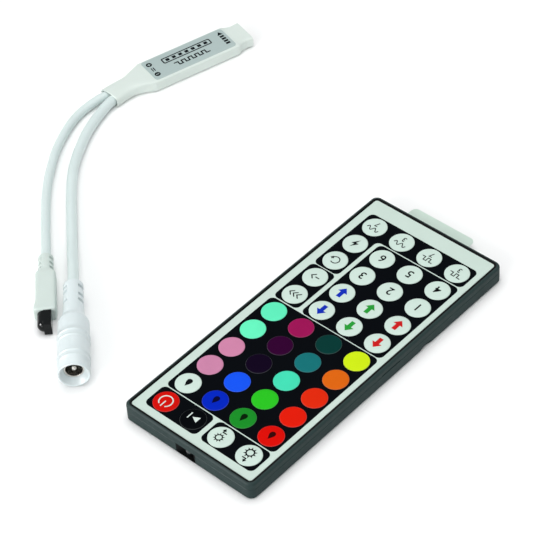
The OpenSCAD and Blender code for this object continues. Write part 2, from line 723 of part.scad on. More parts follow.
module dc_socket() translate(concat(socket_at, socket_z)) rotate([0, 0, socket_turn]) {
    barrel_x = relief_l + collar_l + shoulder_l;
    barrel_r = barrel_d / 2;
    lip_r = barrel_r - mouth_wall;
    base_x = socket_l - mouth_deep - contact_l;
    bands = [for (share = band_shares, edge = [[-1, 0], [-1, 1], [1, 1], [1, 0]])
        [barrel_r + edge[1] * band_proud, barrel_x + share * barrel_l + edge[0] * band_w / 2]];
    color("#dde6e6") difference() {
        along_x() rotate_extrude() polygon(concat(
            [[0, 0], [relief_d / 2, 0], [relief_d / 2, relief_l], [collar_d / 2, relief_l + collar_l],
             [barrel_r, barrel_x]],
            bands,
            [[barrel_r, socket_l - mouth_ch], [barrel_r - mouth_ch, socket_l], [lip_r, socket_l],
             [socket_bore_d / 2, socket_l - mouth_deep], [socket_bore_d / 2, base_x], [0, base_x]]));
        for (slot = relief_slots_shares)
            translate([slot[0] * relief_l, slot[1] * (relief_core + relief_d / 2), 0])
                cube([relief_slot, relief_d, relief_d + over], center = true);
    }
    color("silver") along_x() {
        rotate_extrude() polygon([[contact_d / 2, base_x], [socket_bore_d / 2, base_x],
            [socket_bore_d / 2, base_x + contact_l], [contact_d / 2, base_x + contact_l]]);
        translate([0, 0, base_x]) cylinder(d = pin_d, h = pin_l);
        translate([0, 0, base_x + pin_l]) sphere(d = pin_d);
    }
}

module at_eye() translate(concat(eye_at, eye_h / 2)) rotate([0, 0, eye_turn]) children();

module ir_eye_housing() color("#e6efec") at_eye() difference() {
    box_x = eye_relief_l + eye_shoulder_l;
    neck_half = eye_relief_d / 2;
    union() {
        difference() {
            along_x() cylinder(d = eye_relief_d, h = eye_relief_l);
            for (share = eye_slot_shares, y = [-1, 1])
                translate([share * eye_relief_l, y * (eye_core + eye_relief_d / 2), 0])
                    cube([eye_slot, eye_relief_d, eye_relief_d + over], center = true);
        }
        // The body's rounded section, narrowed towards the strain relief in plan
        intersection() {
            rotate([90, 0, 90]) linear_extrude(eye_face) round_rect(eye_w, eye_h, eye_r);
            translate([0, 0, -eye_h]) linear_extrude(2 * eye_h) polygon([[eye_relief_l, -neck_half],
                [box_x, -eye_w / 2], [eye_face, -eye_w / 2], [eye_face, eye_w / 2], [box_x, eye_w / 2],
                [eye_relief_l, neck_half]]);
            rotate([90, 0, 0]) linear_extrude(2 * eye_w, center = true) polygon([[eye_relief_l, -neck_half],
                [box_x, -eye_h / 2], [eye_face, -eye_h / 2], [eye_face, eye_h / 2], [box_x, eye_h / 2],
                [eye_relief_l, neck_half]]);
        }
        // Flare beside the lens
        translate([0, 0, eye_r - eye_h / 2]) linear_extrude(eye_h - 2 * eye_r) polygon([
            [eye_face - flare_l, eye_r - eye_w / 2], [eye_face - flare_l, -eye_w / 2],
            [eye_face - flare_l / 3, -eye_w / 2 - flare_out], [eye_face, -eye_w / 2 - flare_out],
            [eye_face, eye_r - eye_w / 2]]);
    }
    box_at([eye_face - lens_deep - fit, -lens_side - lens_r - fit, -lens_h / 2 - fit],
        [lens_deep + fit + over, lens_r + lens_w + 2 * fit, lens_h + 2 * fit]);
}

module ir_receiver() color("#15181a") at_eye() {
    back_x = eye_face - lens_deep;
    box_at([back_x, -lens_side, -lens_h / 2], [lens_deep + lens_out, lens_w, lens_h]);
    // Half-round lens with a ball end, on the side that looks out
    intersection() {
        translate([0, -lens_side, 0]) union() {
            translate([back_x, 0, 0]) along_x() cylinder(r = lens_r, h = lens_deep + lens_out - lens_r);
            translate([eye_face + lens_out - lens_r, 0, 0]) sphere(lens_r);
        }
        box_at([back_x, -lens_side - lens_r, -lens_h / 2], [lens_deep + lens_out, lens_r + lens_w / 2, lens_h]);
    }
}

front_case();
back_case();
keypad_overlay();
circuit_board();
infrared_led();
battery_drawer();
coin_cell();
pull_tab();
shrink_sleeve();
control_board();
rating_label();
dc_lead();
ir_lead();
dc_socket();
ir_eye_housing();
ir_receiver();
for (r = [0:rows - 1], c = [0:cols - 1])
    key_cap(r, c);
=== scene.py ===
"""Dresses an in-line controller for an LED strip and the handset that works it.

The frame is the part's own: the origin is the middle of the handset's underside, +X runs along the handset
to its battery end, +Y across it towards the controller and +Z up through the keys. Sizes in this file are
millimetres, and MM turns them into metres where a mesh is made. The studio's own sizes say metres.
"""
from __future__ import annotations

import json
import logging
import math
from dataclasses import dataclass, field, replace
from enum import Enum

import bmesh
import bpy
import numpy as np
from mathutils import Matrix, Vector
from mathutils.geometry import delaunay_2d_cdt

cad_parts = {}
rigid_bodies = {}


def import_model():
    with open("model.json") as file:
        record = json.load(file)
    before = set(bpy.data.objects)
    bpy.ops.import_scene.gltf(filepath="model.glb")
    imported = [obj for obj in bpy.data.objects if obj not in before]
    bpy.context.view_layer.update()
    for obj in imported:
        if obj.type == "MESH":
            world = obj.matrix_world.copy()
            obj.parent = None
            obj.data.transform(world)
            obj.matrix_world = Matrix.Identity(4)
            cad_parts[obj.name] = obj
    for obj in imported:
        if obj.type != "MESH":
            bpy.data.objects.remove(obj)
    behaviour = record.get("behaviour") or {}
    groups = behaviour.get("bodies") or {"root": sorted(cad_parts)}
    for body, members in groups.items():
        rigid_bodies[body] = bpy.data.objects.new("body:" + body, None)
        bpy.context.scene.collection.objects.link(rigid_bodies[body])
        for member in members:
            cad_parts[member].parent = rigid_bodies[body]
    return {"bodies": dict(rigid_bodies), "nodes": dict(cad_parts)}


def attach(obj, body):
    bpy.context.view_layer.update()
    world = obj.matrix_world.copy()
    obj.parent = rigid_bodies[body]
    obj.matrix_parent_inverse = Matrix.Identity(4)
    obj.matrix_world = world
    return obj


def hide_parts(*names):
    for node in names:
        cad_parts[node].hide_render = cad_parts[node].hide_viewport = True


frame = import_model()

MM = 0.001
ROOT = "root"
# In metres: points nearer than WELD become one, and faces thinner than SLIVER go
WELD = 2e-7
SLIVER = 1e-8
# For delaunay_2d_cdt: the distance at which points are the same, and that it gives the cells inside back
SAME_POINT = 1e-7
INSIDE_CELLS = 1
# A noise's roughness, and the range that most of its values lie in
JAGGED = 0.55
USUAL_NOISE = (0.3, 0.7)
# How far from a slot's edge a profile has points, in millimetres
PAST_EDGE = (-0.03, 0.0, 0.02, 0.06, 0.12, 0.2, 0.3, 0.45)
log = logging.getLogger("strip_controller")

Array = np.ndarray
Pair = tuple[float, float]
Triple = tuple[float, float, float]
Colour = Triple
Outline = Array
Shape = list[Outline]
Socket = bpy.types.NodeSocket
Thing = bpy.types.Object
Value = Socket | float | tuple
Layers = list[tuple[Socket, float]]
Settings = dict[str, float | Triple]


# Surfaces as whole arrays


@dataclass
class Skin:
    """A surface: points in millimetres, faces as index arrays and, if a pattern follows it, its course.

    The course gives each point its place on the straightened piece, so that a grain runs along a bent lead.
    """

    points: Array
    faces: list[Array]
    course: Array | None = None

    def __add__(self, other: Skin) -> Skin:
        """Both surfaces as one."""
        shift = len(self.points)
        return Skin(np.vstack([self.points, other.points]), self.faces + [f + shift for f in other.faces])

    def through(self, place: Place) -> Skin:
        """The surface set down at a place."""
        return Skin(place.put(self.points), self.faces, self.course)


@dataclass(frozen=True)
class Place:
    """Where a sub-assembly stands: its own origin on the table and its turn about the upright."""

    x: float = 0.0
    y: float = 0.0
    z: float = 0.0
    turn: float = 0.0

    def put(self, points: Array) -> Array:
        """Sets points down at the place: p' = R(turn) p + origin.

        Args:
            points: The points on the place's own axes, of shape (n, 3) or (3,).

        Returns:
            The same points on the set's axes.
        """
        c, s = math.cos(math.radians(self.turn)), math.sin(math.radians(self.turn))
        spun = points @ np.array([[c, s, 0.0], [-s, c, 0.0], [0.0, 0.0, 1.0]])
        return spun + np.array([self.x, self.y, self.z])

    def heading(self) -> Array:
        """The direction of the place's own +X axis."""
        a = math.radians(self.turn)
        return np.array([math.cos(a), math.sin(a), 0.0])


def beside(*columns: Array | float) -> Array:
    """Arrays of one shape, or numbers, set side by side as the coordinates of points."""
    return np.stack(np.broadcast_arrays(*columns), axis=-1)


def lattice(rows: int, cols: int, closed: bool = False) -> Array:
    """The quads of a grid of points whose columns run round a ring.

    Args:
        rows: How many rings there are.
        cols: How many points a ring has.
        closed: Whether the last ring joins the first.

    Returns:
        An array of four indices a face.
    """
    i = np.arange(rows if closed else rows - 1)[:, None]
    j = np.arange(cols)[None, :]
    after = (i + 1) % rows
    across = (j + 1) % cols
    return beside(i * cols + j, i * cols + across, after * cols + across, after * cols + j).reshape(-1, 4)


def sleeve_of(rings: Array, closed: bool = False) -> Skin:
    """A skin through rings of points, each of them closed.

    Args:
        rings: An array of shape (rings, points, 3).
        closed: Whether the last ring joins the first. If not, a fan to its middle caps each end.

    Returns:
        The closed skin.
    """
    n, m = rings.shape[:2]
    points = rings.reshape(-1, 3)
    faces = [lattice(n, m, closed)]
    if not closed:
        j, last = np.arange(m), (n - 1) * m
        k = (j + 1) % m
        faces += [beside(k, j, n * m), beside(j + last, k + last, n * m + 1)]
        points = np.vstack([points, rings[0].mean(axis=0), rings[-1].mean(axis=0)])
    return Skin(points, faces)


def circle_angles(count: int) -> Array:
    """Angles of `count` points evenly round a circle."""
    return np.arange(count) * (2 * np.pi / count)


def turned(profile: Array, segments: int, upright: bool = False) -> Skin:
    """A profile carried round an axis: (s, r) gives (s, r cos a, r sin a), or (r cos a, r sin a, s) upright.

    Args:
        profile: The points (s, r), s being along the axis and r out from it.
        segments: How many points go round.
        upright: Whether the axis is +Z instead of +X.

    Returns:
        The turned skin.
    """
    a = circle_angles(segments)
    s, r = profile[:, :1], profile[:, 1:]
    points = beside(s, r * np.cos(a), r * np.sin(a)).reshape(-1, 3)
    return Skin(np.roll(points, -1, axis=1) if upright else points, [lattice(len(profile), segments)])


def line_of(*points: tuple[float, ...]) -> Array:
    """Points listed one by one, as an array."""
    return np.array(points, float)


def unit(rows: Array) -> Array:
    """Each row as a direction of length one."""
    return rows / np.linalg.norm(rows, axis=1, keepdims=True)


def run_along(line: Array) -> Array:
    """How far along a line each of its points lies, from 0 at the first."""
    return np.concatenate([[0.0], np.cumsum(np.linalg.norm(np.diff(line, axis=0), axis=1))])


def quarter(t: Array) -> Array:
    """A quarter circle's rise: 1 - sqrt(1 - t^2), with t held from 0 to 1."""
    return 1 - np.sqrt(1 - np.clip(t, 0, 1) ** 2)


def eased(t: Array) -> Array:
    """An even ease from 0 to 1: t^2 (3 - 2t), with t held from 0 to 1."""
    t = np.clip(t, 0, 1)
    return t**2 * (3 - 2 * t)


def soften(line: Array, reach: float, steps: int = 4, closed: bool = False, most: float = 0.48) -> Array:
    """A line of points with its corners rounded off.

    Each corner p becomes ((1-t)^2 a + 2wt(1-t) p + t^2 b) / ((1-t)^2 + 2wt(1-t) + t^2) with w = sqrt(1/2),
    which is a true arc on a square corner. The points a and b lie `reach` before and after p, or on a short
    side a share of it.

    Args:
        line: The points, of shape (n, 2).
        reach: How far from the corner the round begins.
        steps: How many pieces each round has.
        closed: Whether the last point joins the first.
        most: The largest share of a side that a round may take.

    Returns:
        The softened points.
    """
    here = line if closed else line[1:-1]
    back = (np.roll(line, 1, axis=0) if closed else line[:-2]) - here
    on = (np.roll(line, -1, axis=0) if closed else line[2:]) - here
    long_back = np.linalg.norm(back, axis=1, keepdims=True)
    long_on = np.linalg.norm(on, axis=1, keepdims=True)
    a = here + back / long_back * np.minimum(reach, most * long_back)
    b = here + on / long_on * np.minimum(reach, most * long_on)
    t = np.linspace(0.0, 1.0, steps + 1)[None, :, None]
    pull = math.sqrt(2.0) * t * (1 - t)
    weight = (1 - t) ** 2 + pull + t**2
    curve = ((1 - t) ** 2 * a[:, None] + pull * here[:, None] + t**2 * b[:, None]) / weight
    curve = curve.reshape(-1, 2)
    return curve if closed else np.vstack([line[:1], curve, line[-1:]])


def box_ring(exponent: Array, count: int) -> tuple[Array, Array]:
    """Points round |y|^n + |z|^n = 1, for each n given, spread so that the corners have most of them.

    A point (p, q) on the square's outline is drawn in to (p, q) (|p|^n + |q|^n)^(-1/n).

    Args:
        exponent: One n for each ring: 2 is round and 10 nearly square.
        count: Points on one side of the square.

    Returns:
        The arrays y and z, of shape (rings, 4 count).
    """
    along = np.sin((2 * np.arange(count) / count - 1) * np.pi / 2)
    one = np.ones(count)
    p = np.concatenate([one, -along, -one, along])[None, :]
    q = np.concatenate([along, one, -along, -one])[None, :]
    n = np.asarray(exponent, float)[:, None]
    pull = (np.abs(p) ** n + np.abs(q) ** n) ** (-1 / n)
    return p * pull, q * pull


def holds(line: Outline, points: Array) -> Array:
    """Whether each point lies inside a closed outline: a ray along +X from it meets an odd number of sides.

    Args:
        line: The outline.
        points: The points, of shape (n, 2).

    Returns:
        One answer for each point.
    """
    a, b = line[None], np.roll(line, -1, axis=0)[None]
    x, y = points[:, :1], points[:, 1:]
    straddles = (a[..., 1] > y) != (b[..., 1] > y)
    rise = np.where(straddles, b[..., 1] - a[..., 1], 1.0)
    meets = a[..., 0] + (b[..., 0] - a[..., 0]) * (y - a[..., 1]) / rise
    return np.sum(straddles & (x < meets), axis=1) % 2 == 1


def plate(shape: Shape, low: float, high: float) -> Skin:
    """A flat closed plate from outlines in the plane, where an outline inside another is a hole.

    Args:
        shape: The outlines, each of shape (n, 2).
        low: Level of the underside.
        high: Level of the top.

    Returns:
        The plate's top, underside and sides.
    """
    points = np.vstack(shape)
    starts = np.cumsum([0] + [len(line) for line in shape])
    loops = [np.arange(a, b) for a, b in zip(starts[:-1], starts[1:])]
    edges = np.vstack([beside(k, np.roll(k, -1)) for k in loops])
    corners, sides = [Vector(p) for p in points.tolist()], [tuple(e) for e in edges.tolist()]
    flat, _, inside, _, _, _ = delaunay_2d_cdt(corners, sides, [], INSIDE_CELLS, SAME_POINT)
    flat = np.array([tuple(p) for p in flat])
    cells = np.array(inside)
    cells = cells[sum(holds(line, flat[cells].mean(axis=1)) for line in shape) % 2 == 1]
    m, n = len(flat), len(points)
    levels = [beside(*sheet.T, z) for sheet, z in ((flat, high), (flat, low), (points, low), (points, high))]
    sides = np.column_stack([edges, edges[:, ::-1] + n]) + 2 * m
    return Skin(np.vstack(levels), [cells, cells[:, ::-1] + m, sides])


def slot_depth(from_slot: Array, width: float, round_l: float = 0.45, round_d: float = 0.3) -> Array:
    """How deep a slot with rounded edges cuts at each distance from its middle, from 0 to 1.

    It is 1 within the slot. At d past its edge it is k (1 - sqrt(1 - (1 - d/e)^2)), a quarter of an ellipse.

    Args:
        from_slot: Distances from the slot's middle.
        width: The slot's width.
        round_l: e, how long the rounded edge is.
        round_d: k, how deep it is as a share of the slot.

    Returns:
        The depths.
    """
    past = np.abs(from_slot) - width / 2
    rounded = round_d * quarter(1 - past / round_l)
    return np.where(past <= 0, 1.0, rounded)


def beside_slot(middle: float, width: float) -> Array:
    """Stations close to both edges of a slot."""
    out = width / 2 + np.array(PAST_EDGE)
    return np.concatenate([middle - out, middle + out])


def joined(skins: list[Skin]) -> Skin:
    """Several surfaces as one."""
    return sum(skins[1:], skins[0])


def added(name: str, data: bpy.types.ID) -> Thing:
    """A new object in the scene.

    Args:
        name: Its name.
        data: The mesh, curve, lamp or camera that it holds.

    Returns:
        The object.
    """
    made = bpy.data.objects.new(name, data)
    bpy.context.scene.collection.objects.link(made)
    return made


def piece(name: str, skin: Skin, finish: Finish, body: str = ROOT, sharp: float = 40.0) -> Thing:
    """Makes a finished object of a surface, at the origin, and lets it ride on a body.

    Args:
        name: The piece's name.
        skin: Its surface, in millimetres.
        finish: What it is made of.
        body: The body that it moves with.
        sharp: Edges that turn by more than this, in degrees, stay crisp.

    Returns:
        The object.
    """
    mesh = bpy.data.meshes.new(name)
    mesh.from_pydata((skin.points * MM).tolist(), [], [f for block in skin.faces for f in block.tolist()])
    if skin.course is not None:
        data = mesh.attributes.new("course", "FLOAT_VECTOR", "POINT").data
        data.foreach_set("vector", (skin.course * MM).astype(np.float32).ravel())
    solid = bmesh.new()
    solid.from_mesh(mesh)
    bmesh.ops.remove_doubles(solid, verts=solid.verts, dist=WELD)
    bmesh.ops.dissolve_degenerate(solid, edges=solid.edges, dist=SLIVER)
    bmesh.ops.recalc_face_normals(solid, faces=solid.faces)
    solid.to_mesh(mesh)
    solid.free()
    mesh.shade_smooth()
    mesh.set_sharp_from_angle(angle=math.radians(sharp))
    mesh.materials.append(finish.material())
    made = added(name, mesh)
    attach(made, body)
    return made


# Finishes


class Graph:
    """Lays out and joins the nodes of one material, round one Principled shader."""

    def __init__(self, name: str) -> None:
        """Starts an empty material.

        Args:
            name: The material's name.
        """
        self.material = bpy.data.materials.new(name)
        self.material.use_nodes = True
        self.tree = self.material.node_tree
        self.tree.nodes.clear()
        self.shader = self.tree.nodes.new("ShaderNodeBsdfPrincipled")
        out = self.tree.nodes.new("ShaderNodeOutputMaterial")
        self.tree.links.new(self.shader.outputs["BSDF"], out.inputs["Surface"])
        self.place = self.tree.nodes.new("ShaderNodeTexCoord").outputs["Object"]

    def feed(self, socket: Socket, value: Value) -> None:
        """Links a socket to another one or sets its value; a colour gets its fourth number here.

        Args:
            socket: The socket that is fed.
            value: The socket or the value that feeds it.
        """
        if isinstance(value, Socket):
            self.tree.links.new(value, socket)
        else:
            socket.default_value = (*value, 1.0) if socket.type == "RGBA" else value

    def set(self, **values: Value) -> None:
        """Feeds the shader's own sockets, whose names have their spaces written as underscores."""
        for name, value in values.items():
            self.feed(self.shader.inputs[name.replace("_", " ")], value)

    def node(self, kind: str, **links: Value) -> bpy.types.Node:
        """Adds a node.

        Args:
            kind: The node's type after "ShaderNode".
            **links: A socket or a value for each input; a name such as in0 counts the inputs.

        Returns:
            The node.
        """
        made = self.tree.nodes.new("ShaderNode" + kind)
        for name, value in links.items():
            self.feed(made.inputs[int(name[2:])] if name.startswith("in") else made.inputs[name], value)
        return made

    def sum(self, operation: str, a: Socket | float, b: Socket | float = 0.0) -> Socket:
        """One step of arithmetic.

        Args:
            operation: The Math node's operation.
            a: Its first number or socket.
            b: Its second, where it takes two.

        Returns:
            The result.
        """
        made = self.node("Math", in0=a, in1=b)
        made.operation = operation
        return made.outputs[0]

    def hypot(self, a: Socket, b: Socket) -> Socket:
        """The distance sqrt(a^2 + b^2)."""
        return self.sum("SQRT", self.sum("ADD", self.sum("POWER", a, 2.0), self.sum("POWER", b, 2.0)))

    def axes(self, place: Socket | None = None) -> list[Socket]:
        """The x, y and z of the object's coordinates, or of another place."""
        return list(self.node("SeparateXYZ", Vector=place or self.place).outputs)

    def stretched(self, scale: Triple, course: bool = False) -> Socket:
        """The object's coordinates with each axis scaled.

        Args:
            scale: The scale of each axis.
            course: Whether the lead's course takes the coordinates' place.

        Returns:
            The socket.
        """
        source = self.place
        if course:
            attribute = self.node("Attribute")
            attribute.attribute_name = "course"
            source = attribute.outputs["Vector"]
        return self.node("Mapping", Vector=source, Scale=scale).outputs[0]

    def noise(self, size: float, detail: float = 2.0, vector: Socket | None = None) -> Socket:
        """Smooth noise from 0 to 1 whose grains are about `size` millimetres wide."""
        look = {"Scale": 1 / (size * MM), "Detail": detail, "Roughness": JAGGED}
        return self.node("TexNoise", Vector=vector or self.place, **look).outputs["Fac"]

    def spread(self, source: Socket, low: float, high: float) -> Socket:
        """A noise value carried from its usual range onto low to high."""
        least, most = USUAL_NOISE
        return self.node("MapRange", in0=source, in1=least, in2=most, in3=low, in4=high).outputs[0]

    def blend(self, share: Socket | float, a: Socket | Colour, b: Socket | Colour) -> Socket:
        """Mixes two colours.

        Args:
            share: How much of b there is.
            a: The colour where the share is 0.
            b: The colour where it is 1.

        Returns:
            The mixed colour.
        """
        made = self.tree.nodes.new("ShaderNodeMix")
        made.data_type = "RGBA"
        factor, first, second = (made.inputs[k] for k in (0, 6, 7))
        for socket, value in ((factor, share), (first, a), (second, b)):
            self.feed(socket, value)
        return made.outputs[2]

    def relief(self, heights: Layers) -> None:
        """Gives the shader a bump.

        Args:
            heights: Each noise with its depth in millimetres, the lowest layer first.
        """
        below: dict[str, Socket] = {}
        for height, depth in heights:
            made = self.node("Bump", Strength=1.0, Distance=depth * MM, Height=height, **below)
            below = {"Normal": made.outputs[0]}
        self.set(**below)

    def within(self, low: Triple, high: Triple, place: Place | None = None) -> Socket:
        """1 inside a box and 0 outside it.

        Args:
            low: The box's low corner, in millimetres.
            high: Its high corner.
            place: The place whose own axes the box follows.

        Returns:
            The socket.
        """
        source = self.place
        if place is not None:
            own = self.node("Mapping", Vector=source, Location=(place.x * MM, place.y * MM, place.z * MM),
                            Rotation=(0.0, 0.0, math.radians(place.turn)))
            own.vector_type = "TEXTURE"
            source = own.outputs[0]
        share: Socket | float = 1.0
        for axis, a, b in zip(self.axes(source), low, high):
            far = self.sum("ABSOLUTE", self.sum("SUBTRACT", axis, (a + b) / 2 * MM))
            share = self.sum("MULTIPLY", share, self.sum("LESS_THAN", far, (b - a) / 2 * MM))
        return share


@dataclass(frozen=True)
class Finish:
    """A moulded or printed surface: colour, gloss, and the grain that breaks them up.

    Attributes:
        name: The material's name.
        colour: Its colour, in linear light.
        rough: How dull its gloss is.
        mottle: How far the colour drifts, as a share of it.
        grain, depth: Size and depth of the fine grain.
        shine: Strength of the surface gloss, 0.5 being that of common plastic.
        drift: Size of the colour's patches.
        patches: Size and detail of the gloss's patches.
        duller: How much less and how much more dull than `rough` they are.
    """

    name: str
    colour: Colour
    rough: float = 0.4
    mottle: float = 0.04
    grain: float = 0.3
    depth: float = 0.01
    shine: float = 0.5
    drift: float = 7.0
    patches: Pair = (2.5, 3.0)
    duller: Pair = (0.04, 0.05)

    def shade(self, by: float) -> Colour:
        """The colour, lighter or darker by a share of it."""
        return tuple(min(1.0, c * (1 + by)) for c in self.colour)

    def material(self) -> bpy.types.Material:
        """The material, made the first time that it is asked for.

        Returns:
            The one material that all pieces of this finish share.
        """
        known = bpy.data.materials.get(self.name)
        if known is not None and known.get("finished"):
            return known
        graph = Graph(self.name)
        graph.set(Specular_IOR_Level=self.shine, **self.settings())
        self.lay(graph)
        graph.material["finished"] = True
        return graph.material

    def settings(self) -> Settings:
        """What this finish sets on the shader, beside its gloss."""
        return {}

    def drifting(self, graph: Graph, patches: Socket) -> Socket:
        """The colour, a little darker and lighter by the patches."""
        return graph.blend(graph.spread(patches, 0.0, 1.0), self.shade(-self.mottle), self.shade(self.mottle))

    def base(self, graph: Graph) -> Socket:
        """The finish's own colour."""
        return self.drifting(graph, graph.noise(self.drift, 3.0))

    def dulled(self, graph: Graph, patches: Socket | None = None) -> Socket:
        """How dull the gloss is, a little less and more by a noise, the finish's own or another."""
        less, more = self.duller
        return graph.spread(patches or graph.noise(*self.patches), self.rough - less, self.rough + more)

    def heights(self, graph: Graph) -> Layers:
        """The layers of the relief, each with its depth."""
        return [(graph.noise(self.grain), self.depth)]

    def lay(self, graph: Graph) -> None:
        """Lays the finish: drifting colour, gloss that varies in patches, and relief."""
        graph.set(Base_Color=self.base(graph), Roughness=self.dulled(graph))
        graph.relief(self.heights(graph))


@dataclass(frozen=True)
class CasePlastic(Finish):
    """Dark moulded case with spark-eroded grain, and black painted shade round the film and in the emitter's
    window.

    Attributes:
        black: The colour of the painted shade.
        groove: Half sides and corner radius of the painted shade round the film, over its groove and the
            rim's flat top.
        groove_z: The level above which the shade is painted.
        window_low, window_high: Corners of the box that the painted shade in the emitter's window fills.
    """

    black: Colour = (0.0015, 0.002, 0.0025)
    groove: Triple = (61.6, 26.6, 2.1)
    groove_z: float = 6.3
    window_low: Triple = (-62.46, -4.4, 0.3)
    window_high: Triple = (-54.0, 5.4, 4.3)

    def base(self, graph: Graph) -> Socket:
        """The drifting colour, with black painted shade round the film and in the window."""
        # painted shade: black where shade falls, round the film and inside the emitter's window
        dark = graph.sum("MAXIMUM", self.in_groove(graph), graph.within(self.window_low, self.window_high))
        return graph.blend(dark, super().base(graph), self.black)

    # The mask of the painted shade round the film
    def in_groove(self, graph: Graph) -> Socket:
        """1 above groove_z within a rectangle with round corners, whose half sides and radius groove holds.

        A point lies in it where hypot(max(|x| - a, 0), max(|y| - b, 0)) < r, where a and b are the half sides
        less r.

        Args:
            graph: The material's nodes.

        Returns:
            The socket.
        """
        half_x, half_y, radius = self.groove
        x, y, z = graph.axes()
        past = []
        for axis, half in ((x, half_x), (y, half_y)):
            beyond = graph.sum("SUBTRACT", graph.sum("ABSOLUTE", axis), (half - radius) * MM)
            past.append(graph.sum("MAXIMUM", beyond, 0.0))
        inside = graph.sum("LESS_THAN", graph.hypot(*past), radius * MM)
        return graph.sum("MULTIPLY", inside, graph.sum("GREATER_THAN", z, self.groove_z * MM))


@dataclass(frozen=True)
class PrintedFilm(Finish):
    """Screen-printed film: even colour under a satin coat with a faint ripple.

    Attributes:
        coat: How much coat there is.
        weave, ripple: Size of the print's grain and of the film's ripple.
    """

    patches: Pair = (1.2, 2.0)
    duller: Pair = (0.03, 0.04)
    coat: float = 0.15
    weave: float = 0.5
    ripple: float = 4.0

    def settings(self) -> Settings:
        """The coat over the print."""
        return {"Coat_Weight": self.coat, "Coat_Roughness": 0.25}

    def heights(self, graph: Graph) -> Layers:
        """The print's grain and the film's ripple."""
        return [(graph.noise(self.weave, 1.0), self.depth), (graph.noise(self.ripple, 1.0), self.depth * 2)]


@dataclass(frozen=True)
class KeyFilm(PrintedFilm):
    """A key's film with a painted highlight: a fine pale line round the crown's rim.

    Attributes:
        centre: The key's middle.
        rim_r: The radius past which the painted highlight lies.
        rim_share: How much of the pale colour of the painted highlight shows there.
        pale: The painted highlight's colour.
    """

    centre: Pair = (0.0, 0.0)
    rim_r: float = 4.2
    rim_share: float = 0.075
    pale: Colour = (0.5, 0.56, 0.56)

    def base(self, graph: Graph) -> Socket:
        """The drifting colour, paler as a painted highlight where hypot(x - cx, y - cy) is more than rim_r.

        Args:
            graph: The material's nodes.

        Returns:
            The colour.
        """
        off = [graph.sum("SUBTRACT", axis, at * MM) for axis, at in zip(graph.axes(), self.centre)]
        # painted highlight: a pale ring past rim_r, where the crown's edge would catch the light
        past = graph.sum("GREATER_THAN", graph.hypot(*off), self.rim_r * MM)
        return graph.blend(graph.sum("MULTIPLY", past, self.rim_share), super().base(graph), self.pale)


@dataclass(frozen=True)
class SoftWhite(Finish):
    """Soft white polymer, which light enters a little way: the sleeve, the mouldings and the leads' jackets.

    Attributes:
        glow, glow_deep: How much light enters, and how far.
        wrinkle: Depth of the long wrinkles where it was shrunk or drawn.
        stretch: The wrinkles' scale on each axis.
        course: Whether they follow a lead's course.
    """

    patches: Pair = (1.6, 3.0)
    duller: Pair = (0.05, 0.06)
    glow: float = 0.15
    glow_deep: float = 0.8
    wrinkle: float = 0.0
    stretch: Triple = (1.0, 1.0, 1.0)
    course: bool = False

    def settings(self) -> Settings:
        """The light that enters, red the farthest."""
        return {"Subsurface_Weight": self.glow, "Subsurface_Scale": self.glow_deep * MM,
                "Subsurface_Radius": (1.0, 0.9, 0.85)}

    def heights(self, graph: Graph) -> Layers:
        """The grain and, where there are any, the wrinkles.

        Args:
            graph: The material's nodes.

        Returns:
            The layers of the relief, each with its depth.
        """
        layers = [(graph.noise(self.grain), self.depth)]
        if self.wrinkle:
            layers.append((graph.noise(1.0, 2.0, graph.stretched(self.stretch, self.course)), self.wrinkle))
        return layers


@dataclass(frozen=True)
class Metal(Finish):
    """Bare or plated metal with fine brushing along one axis, which varies its gloss too.

    Attributes:
        stretch: The brushing's scale on each axis.
        metallic: How much of it is metal.
    """

    duller: Pair = (0.05, 0.08)
    stretch: Triple = (0.05, 1.0, 1.0)
    metallic: float = 1.0

    def lay(self, graph: Graph) -> None:
        """Lays the metal, its brushing showing in colour, gloss and relief alike.

        Args:
            graph: The material's nodes.
        """
        lines = graph.noise(self.grain, 3.0, graph.stretched(self.stretch))
        graph.set(Metallic=self.metallic, Base_Color=self.drifting(graph, lines),
                  Roughness=self.dulled(graph, lines))
        graph.relief([(lines, self.depth)])


@dataclass(frozen=True)
class ClearResin(Finish):
    """Cast resin under a hard clear gloss: the emitter and the receiver.

    Attributes:
        ripple: Size of the cast face's ripple.
    """

    patches: Pair = (1.0, 2.0)
    duller: Pair = (0.0, 0.05)
    ripple: float = 2.0

    def settings(self) -> Settings:
        """The clear gloss."""
        return {"Coat_Weight": 0.12, "Coat_Roughness": 0.03}

    def heights(self, graph: Graph) -> Layers:
        """The faint ripple of a cast face."""
        return [(graph.noise(self.ripple, 1.0), self.depth)]


@dataclass(frozen=True)
class TabFilm(Finish):
    """Thin frosted film that lets part of the light through, with a soft buckle.

    Attributes:
        clear: How much of the light passes.
        buckle: Size of the buckle.
    """

    patches: Pair = (0.8, 2.0)
    duller: Pair = (0.05, 0.08)
    clear: float = 0.25
    buckle: float = 5.0

    def settings(self) -> Settings:
        """The light that passes."""
        return {"Transmission_Weight": self.clear, "IOR": 1.45}

    def heights(self, graph: Graph) -> Layers:
        """The frost and the buckle."""
        return [(graph.noise(self.grain), self.depth), (graph.noise(self.buckle, 1.0), self.depth * 4)]


